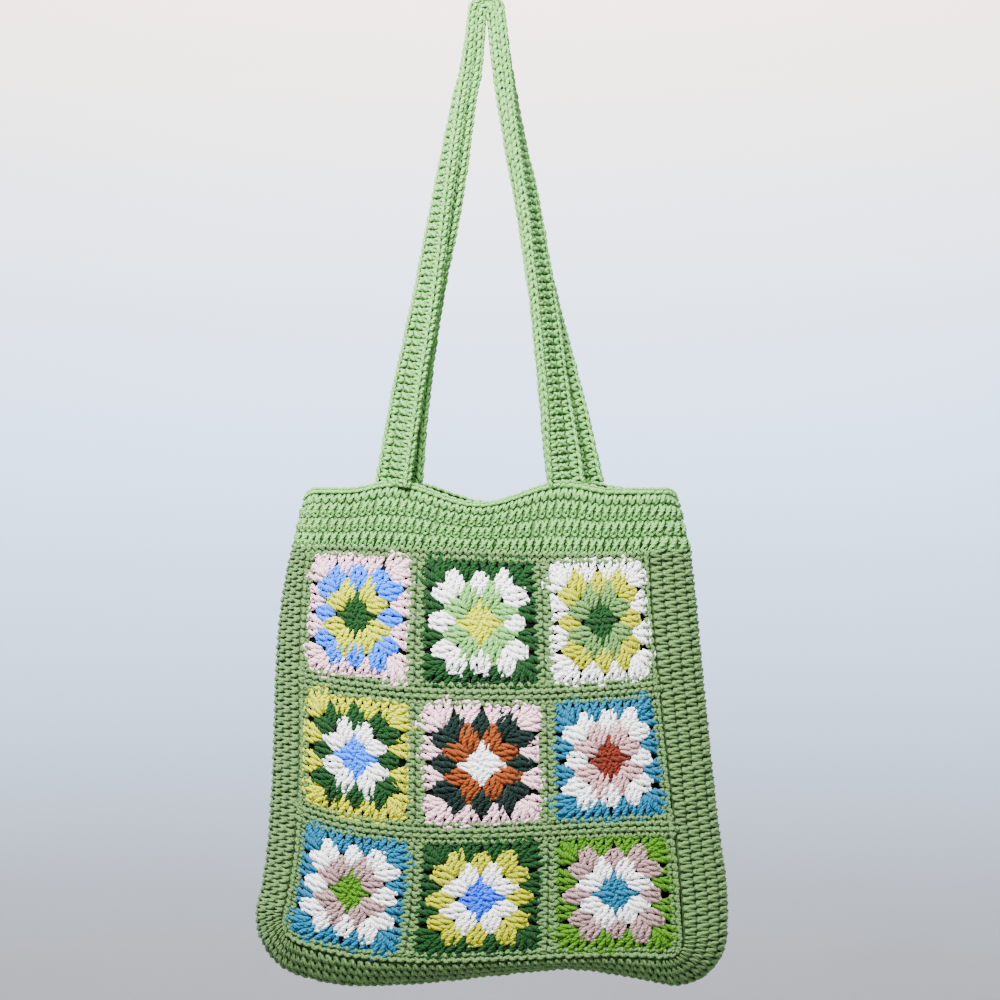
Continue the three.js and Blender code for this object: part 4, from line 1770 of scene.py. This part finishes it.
@dataclass
class Strap:
    """A strap worked lengthwise, the same on both faces, with a plait along both edges."""

    name: str
    shape: StrapShape
    seed: int
    inset: float = 1.3
    face_lift: float = 0.4
    edge_lift: float = 0.2
    foot: float = 3.0
    double_height: float = 9.2
    margin: float = 2.4

    def _line(self) -> tuple[Points, Points, Points, Points]:
        """Run the strap's middle line on at both ends, into the band.

        Returns:
            Lengths along it, and its points, its ways across and its ways through there.
        """
        _, line, wide, thick = self.shape.line()
        start = line[:1] + unit(line[:1] - line[1:2]) * self.foot
        stop = line[-1:] + unit(line[-1:] - line[-2:-1]) * self.foot
        line = np.concatenate([start, line, stop])
        wide, thick = (np.concatenate([way[:1], way, way[-1:]]) for way in (wide, thick))
        return lengths_along(line), line, wide, thick

    def build(self) -> bpy.types.Object:
        """Work both faces and both edges, and return the finished piece."""
        run, line, wide, thick = self._line()
        half_width, half_thick = self.shape.width / 2, self.shape.thickness / 2

        def read(part: Points, s: Points) -> Points:
            """Read one of the line's tables at these lengths."""
            return np.stack([np.interp(s, run, part[:, k]) for k in range(3)], axis=-1)

        def at(s: Points, w: Points, t: Points) -> Points:
            """Points of the strap: along it, across its width and through it."""
            middle, across, out = (read(part, s) for part in (line, wide, thick))
            return middle + unit(across) * w[:, None] + unit(out) * t[:, None]

        def face(sign: int) -> Placer:
            """Lay flat cloth on one face."""
            return lambda flat: at(
                flat[:, 0], sign * flat[:, 1], sign * (half_thick + self.face_lift + flat[:, 2])
            )

        def edge(sign: int) -> Placer:
            """Lay flat cloth on one edge."""
            return lambda flat: at(
                flat[:, 0], sign * (half_width + self.edge_lift + flat[:, 2]), -sign * flat[:, 1]
            )

        yarn = YarnColour.SAGE.value
        piece = Crochet(self.name, yarn, self.seed)
        half_row = self.double_height / 2
        inner, side = half_width - self.margin, half_width - self.margin / 2
        tall = (inner - half_row) / SINGLE.height
        for sign in (1, -1):
            double, single, plait = (StitchPlan(stitch, yarn) for stitch in (DOUBLE, SINGLE, PLAIT))
            double.row((0, -half_row), (run[-1], -half_row), self.double_height / DOUBLE.height)
            single.row((0, half_row), (run[-1], half_row), tall)
            single.row((run[-1], -half_row), (0, -half_row), tall)
            plait.row((0, side), (run[-1], side))
            plait.row((0, -side), (run[-1], -side))
            for plan in (double, single, plait):
                piece.work(plan, face(sign))
            under = StitchPlan(PLAIT_UNDER, yarn)
            under.row((0, 0), (run[-1], 0))
            piece.work(under, edge(sign))
        piece.back(self.inset)
        return piece.finish()


# The studio


class Lamp(NamedTuple):
    """A soft square light that faces a target."""

    name: str
    place: tuple[float, float, float]
    size: float
    power: float
    colour: tuple[float, float, float]
    target: tuple[float, float, float]


BAG_MIDDLE = (0.0, 0.0, -0.4)
WALL_MIDDLE = (0.0, 3.4, 0.3)
WHITE_LIGHT = (1.0, 1.0, 1.0)


@dataclass
class Studio:
    """The camera at the photograph's angle, soft light, and a pale floor that turns up."""

    camera_place: tuple[float, float, float] = (0.0101, -1.9, -0.366)
    field_width: float = 0.75
    lamps: tuple[Lamp, ...] = (
        Lamp("window", (-0.3, -0.8, 0.5), 0.55, 90.0, (1.0, 0.99, 0.97), BAG_MIDDLE),
        Lamp("front_fill", (0.9, -2.2, -0.3), 1.8, 12.0, (0.97, 0.98, 1.0), BAG_MIDDLE),
        Lamp("back_fill", (0.8, 1.6, 0.9), 1.4, 40.0, WHITE_LIGHT, BAG_MIDDLE),
        Lamp("wall_wash", (0.0, 1.2, 1.8), 1.6, 330.0, WHITE_LIGHT, WALL_MIDDLE),
    )
    sky_colour: tuple[float, float, float, float] = (0.95, 0.97, 1.0, 1.0)
    sky_strength: float = 0.9
    floor_height: float = -1.3
    floor_reach: float = 2.6
    floor_turn: float = 0.8
    wall_top: float = 2.4
    inside_height: float = 0.5
    rings: int = 12
    spokes: int = 96
    # Painted falloff of light on the backdrop: painted shade low down, a painted cool light in the middle
    # and a painted warm light high up.
    shaded_low_tone: str = "#6e6f71"
    middle_tone: str = "#c5ddfc"
    lit_high_tone: str = "#f0e3d8"
    front_tone: str = "#96999d"
    low_rise: tuple[float, float] = (-1.35, -0.15)
    high_rise: tuple[float, float] = (-0.25, 0.75)
    front_reach: tuple[float, float] = (-1.5, 1.5)
    cloud_scale: float = 1.5
    cloud_detail: float = 3.0
    cloud_share: float = 0.06
    floor_roughness: float = 0.95
    floor_specular: float = 0.1

    def build(self) -> None:
        """Set up the studio."""
        self._camera()
        self._floor()
        self._world()
        for lamp in self.lamps:
            self._light(lamp)

    def _camera(self) -> None:
        """Add the camera, level and square on."""
        data = bpy.data.cameras.new("camera")
        data.lens = data.sensor_width * -self.camera_place[1] / self.field_width
        camera = bpy.data.objects.new("camera", data)
        camera.location = self.camera_place
        camera.rotation_euler = (math.pi / 2, 0.0, 0.0)
        bpy.context.scene.collection.objects.link(camera)
        bpy.context.scene.camera = camera

    def _floor(self) -> None:
        """Add a round floor whose rim turns up into a low wall."""
        angle = np.linspace(0, math.pi / 2, self.rings)
        reach = [0.0, *(self.floor_reach + self.floor_turn * np.sin(angle))]
        height = [0.0, *(self.floor_turn * (1 - np.cos(angle)))]
        reach.append(reach[-1])
        height.append(self.wall_top - self.floor_height)
        profile = bmesh.new()
        corners = [profile.verts.new((r, 0.0, self.floor_height + h)) for r, h in zip(reach, height)]
        edges = [profile.edges.new(pair) for pair in zip(corners, corners[1:])]
        bmesh.ops.spin(
            profile,
            geom=corners + edges,
            axis=(0, 0, 1),
            cent=(0, 0, 0),
            angle=2 * math.pi,
            steps=self.spokes,
        )
        bmesh.ops.remove_doubles(profile, verts=profile.verts, dist=MM)
        inside = Vector((0, 0, self.inside_height))
        for face in profile.faces:
            face.smooth = True
            if face.normal.dot(inside - face.calc_center_median()) < 0:
                face.normal_flip()
        mesh = bpy.data.meshes.new("floor")
        profile.to_mesh(mesh)
        profile.free()
        mesh.materials.append(self._floor_material())
        floor = bpy.data.objects.new("floor", mesh)
        bpy.context.scene.collection.objects.link(floor)

    def _floor_material(self) -> bpy.types.Material:
        """Paint the floor, paler where it turns up behind the bag: painted shade darkens it toward the
        bottom, painted light tints it cool in the middle and warm at the top, and it is darker toward the
        front.
        """
        tree = ShaderTree("pale_floor")
        where = tree.node("ShaderNodeTexCoord", output="Object")
        height = tree.node("ShaderNodeSeparateXYZ", values={0: where}, output="Z")
        depth = tree.node("ShaderNodeSeparateXYZ", values={0: where}, output="Y")
        cloud = noise(tree, where, self.cloud_scale, self.cloud_detail)
        # Painted shade darkens the backdrop toward the floor; painted cool and warm light tint it higher
        # up.
        low = height.between(*self.low_rise) + (cloud - 0.5) * self.cloud_share
        behind = tree.mix(low, paint(self.shaded_low_tone), paint(self.middle_tone))
        behind = tree.mix(height.between(*self.high_rise), behind, paint(self.lit_high_tone))
        colour = tree.mix(depth.between(*self.front_reach), paint(self.front_tone), behind)
        values = {
            "Base Color": colour,
            "Roughness": self.floor_roughness,
            "Specular IOR Level": self.floor_specular,
        }
        return tree.surface(tree.node("ShaderNodeBsdfPrincipled", values=values))

    def _world(self) -> None:
        """Fill the studio with pale light."""
        world = bpy.data.worlds.new("studio")
        world.use_nodes = True
        background = world.node_tree.nodes["Background"]
        background.inputs["Color"].default_value = self.sky_colour
        background.inputs["Strength"].default_value = self.sky_strength
        bpy.context.scene.world = world

    def _light(self, lamp: Lamp) -> None:
        """Add a lamp."""
        data = bpy.data.lights.new(lamp.name, "AREA")
        data.size = lamp.size
        data.energy = lamp.power
        data.color = lamp.colour
        light = bpy.data.objects.new(lamp.name, data)
        light.location = lamp.place
        aim = Vector(lamp.target) - Vector(lamp.place)
        light.rotation_euler = aim.to_track_quat("-Z", "Y").to_euler()
        bpy.context.scene.collection.objects.link(light)


def squares(bag: BagShape) -> list[GrannySquare]:
    """The nine squares, each with its rounds' yarns from the middle out."""
    c = YarnColour
    return [
        GrannySquare(bag, "square_top_left", 0, 0, (c.DARK_GREEN, c.YELLOW, c.SKY_BLUE, c.PALE_PINK)),
        GrannySquare(bag, "square_top_middle", 1, 0, (c.YELLOW, c.SAGE, c.WHITE, c.DARK_GREEN)),
        GrannySquare(bag, "square_top_right", 2, 0, (c.DARK_GREEN, c.GREY_SAGE, c.MUSTARD, c.WHITE)),
        GrannySquare(bag, "square_middle_left", 0, 1, (c.SKY_BLUE, c.WHITE, c.DARK_GREEN, c.YELLOW)),
        GrannySquare(bag, "square_middle_middle", 1, 1, (c.WHITE, c.RUST, c.TEAL, c.PALE_PINK)),
        GrannySquare(bag, "square_middle_right", 2, 1, (c.DARK_RUST, c.DUSTY_PINK, c.WHITE, c.TURQUOISE)),
        GrannySquare(bag, "square_bottom_left", 0, 2, (c.LIME, c.MAUVE, c.WHITE, c.TURQUOISE)),
        GrannySquare(bag, "square_bottom_middle", 1, 2, (c.BRIGHT_BLUE, c.WHITE, c.MUSTARD, c.DARK_GREEN)),
        GrannySquare(bag, "square_bottom_right", 2, 2, (c.TURQUOISE, c.WHITE, c.MAUVE, c.LIME)),
    ]


def straps(bag: BagShape) -> list[Strap]:
    """The two straps, the front one over the back one on the hook."""
    inner = StrapShape.hook_radius + StrapShape.thickness / 2
    outer = inner + StrapShape.thickness + PIECE_GAP
    front = StrapShape(bag, FRONT, outer, FRONT_LEFT_LEG, FRONT_RIGHT_LEG)
    back = StrapShape(bag, BACK, inner, BACK_LEFT_LEG, BACK_RIGHT_LEG)
    return [Strap("front_strap", front, seed=600), Strap("back_strap", back, seed=700)]


def main() -> None:
    """Build the studio and every piece of the bag."""
    logging.basicConfig(level=logging.INFO, format="%(name)s %(message)s")
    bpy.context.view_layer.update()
    Studio().build()
    Crochet.setter = StitchSetter()
    bag = BagShape()
    sheets = (Gusset(bag), BackPanel(bag), MouthBand(bag))
    for piece in (FrontGrid(bag), *squares(bag), *sheets, *straps(bag)):
        piece.build()


if __name__ == "__main__":
    main()
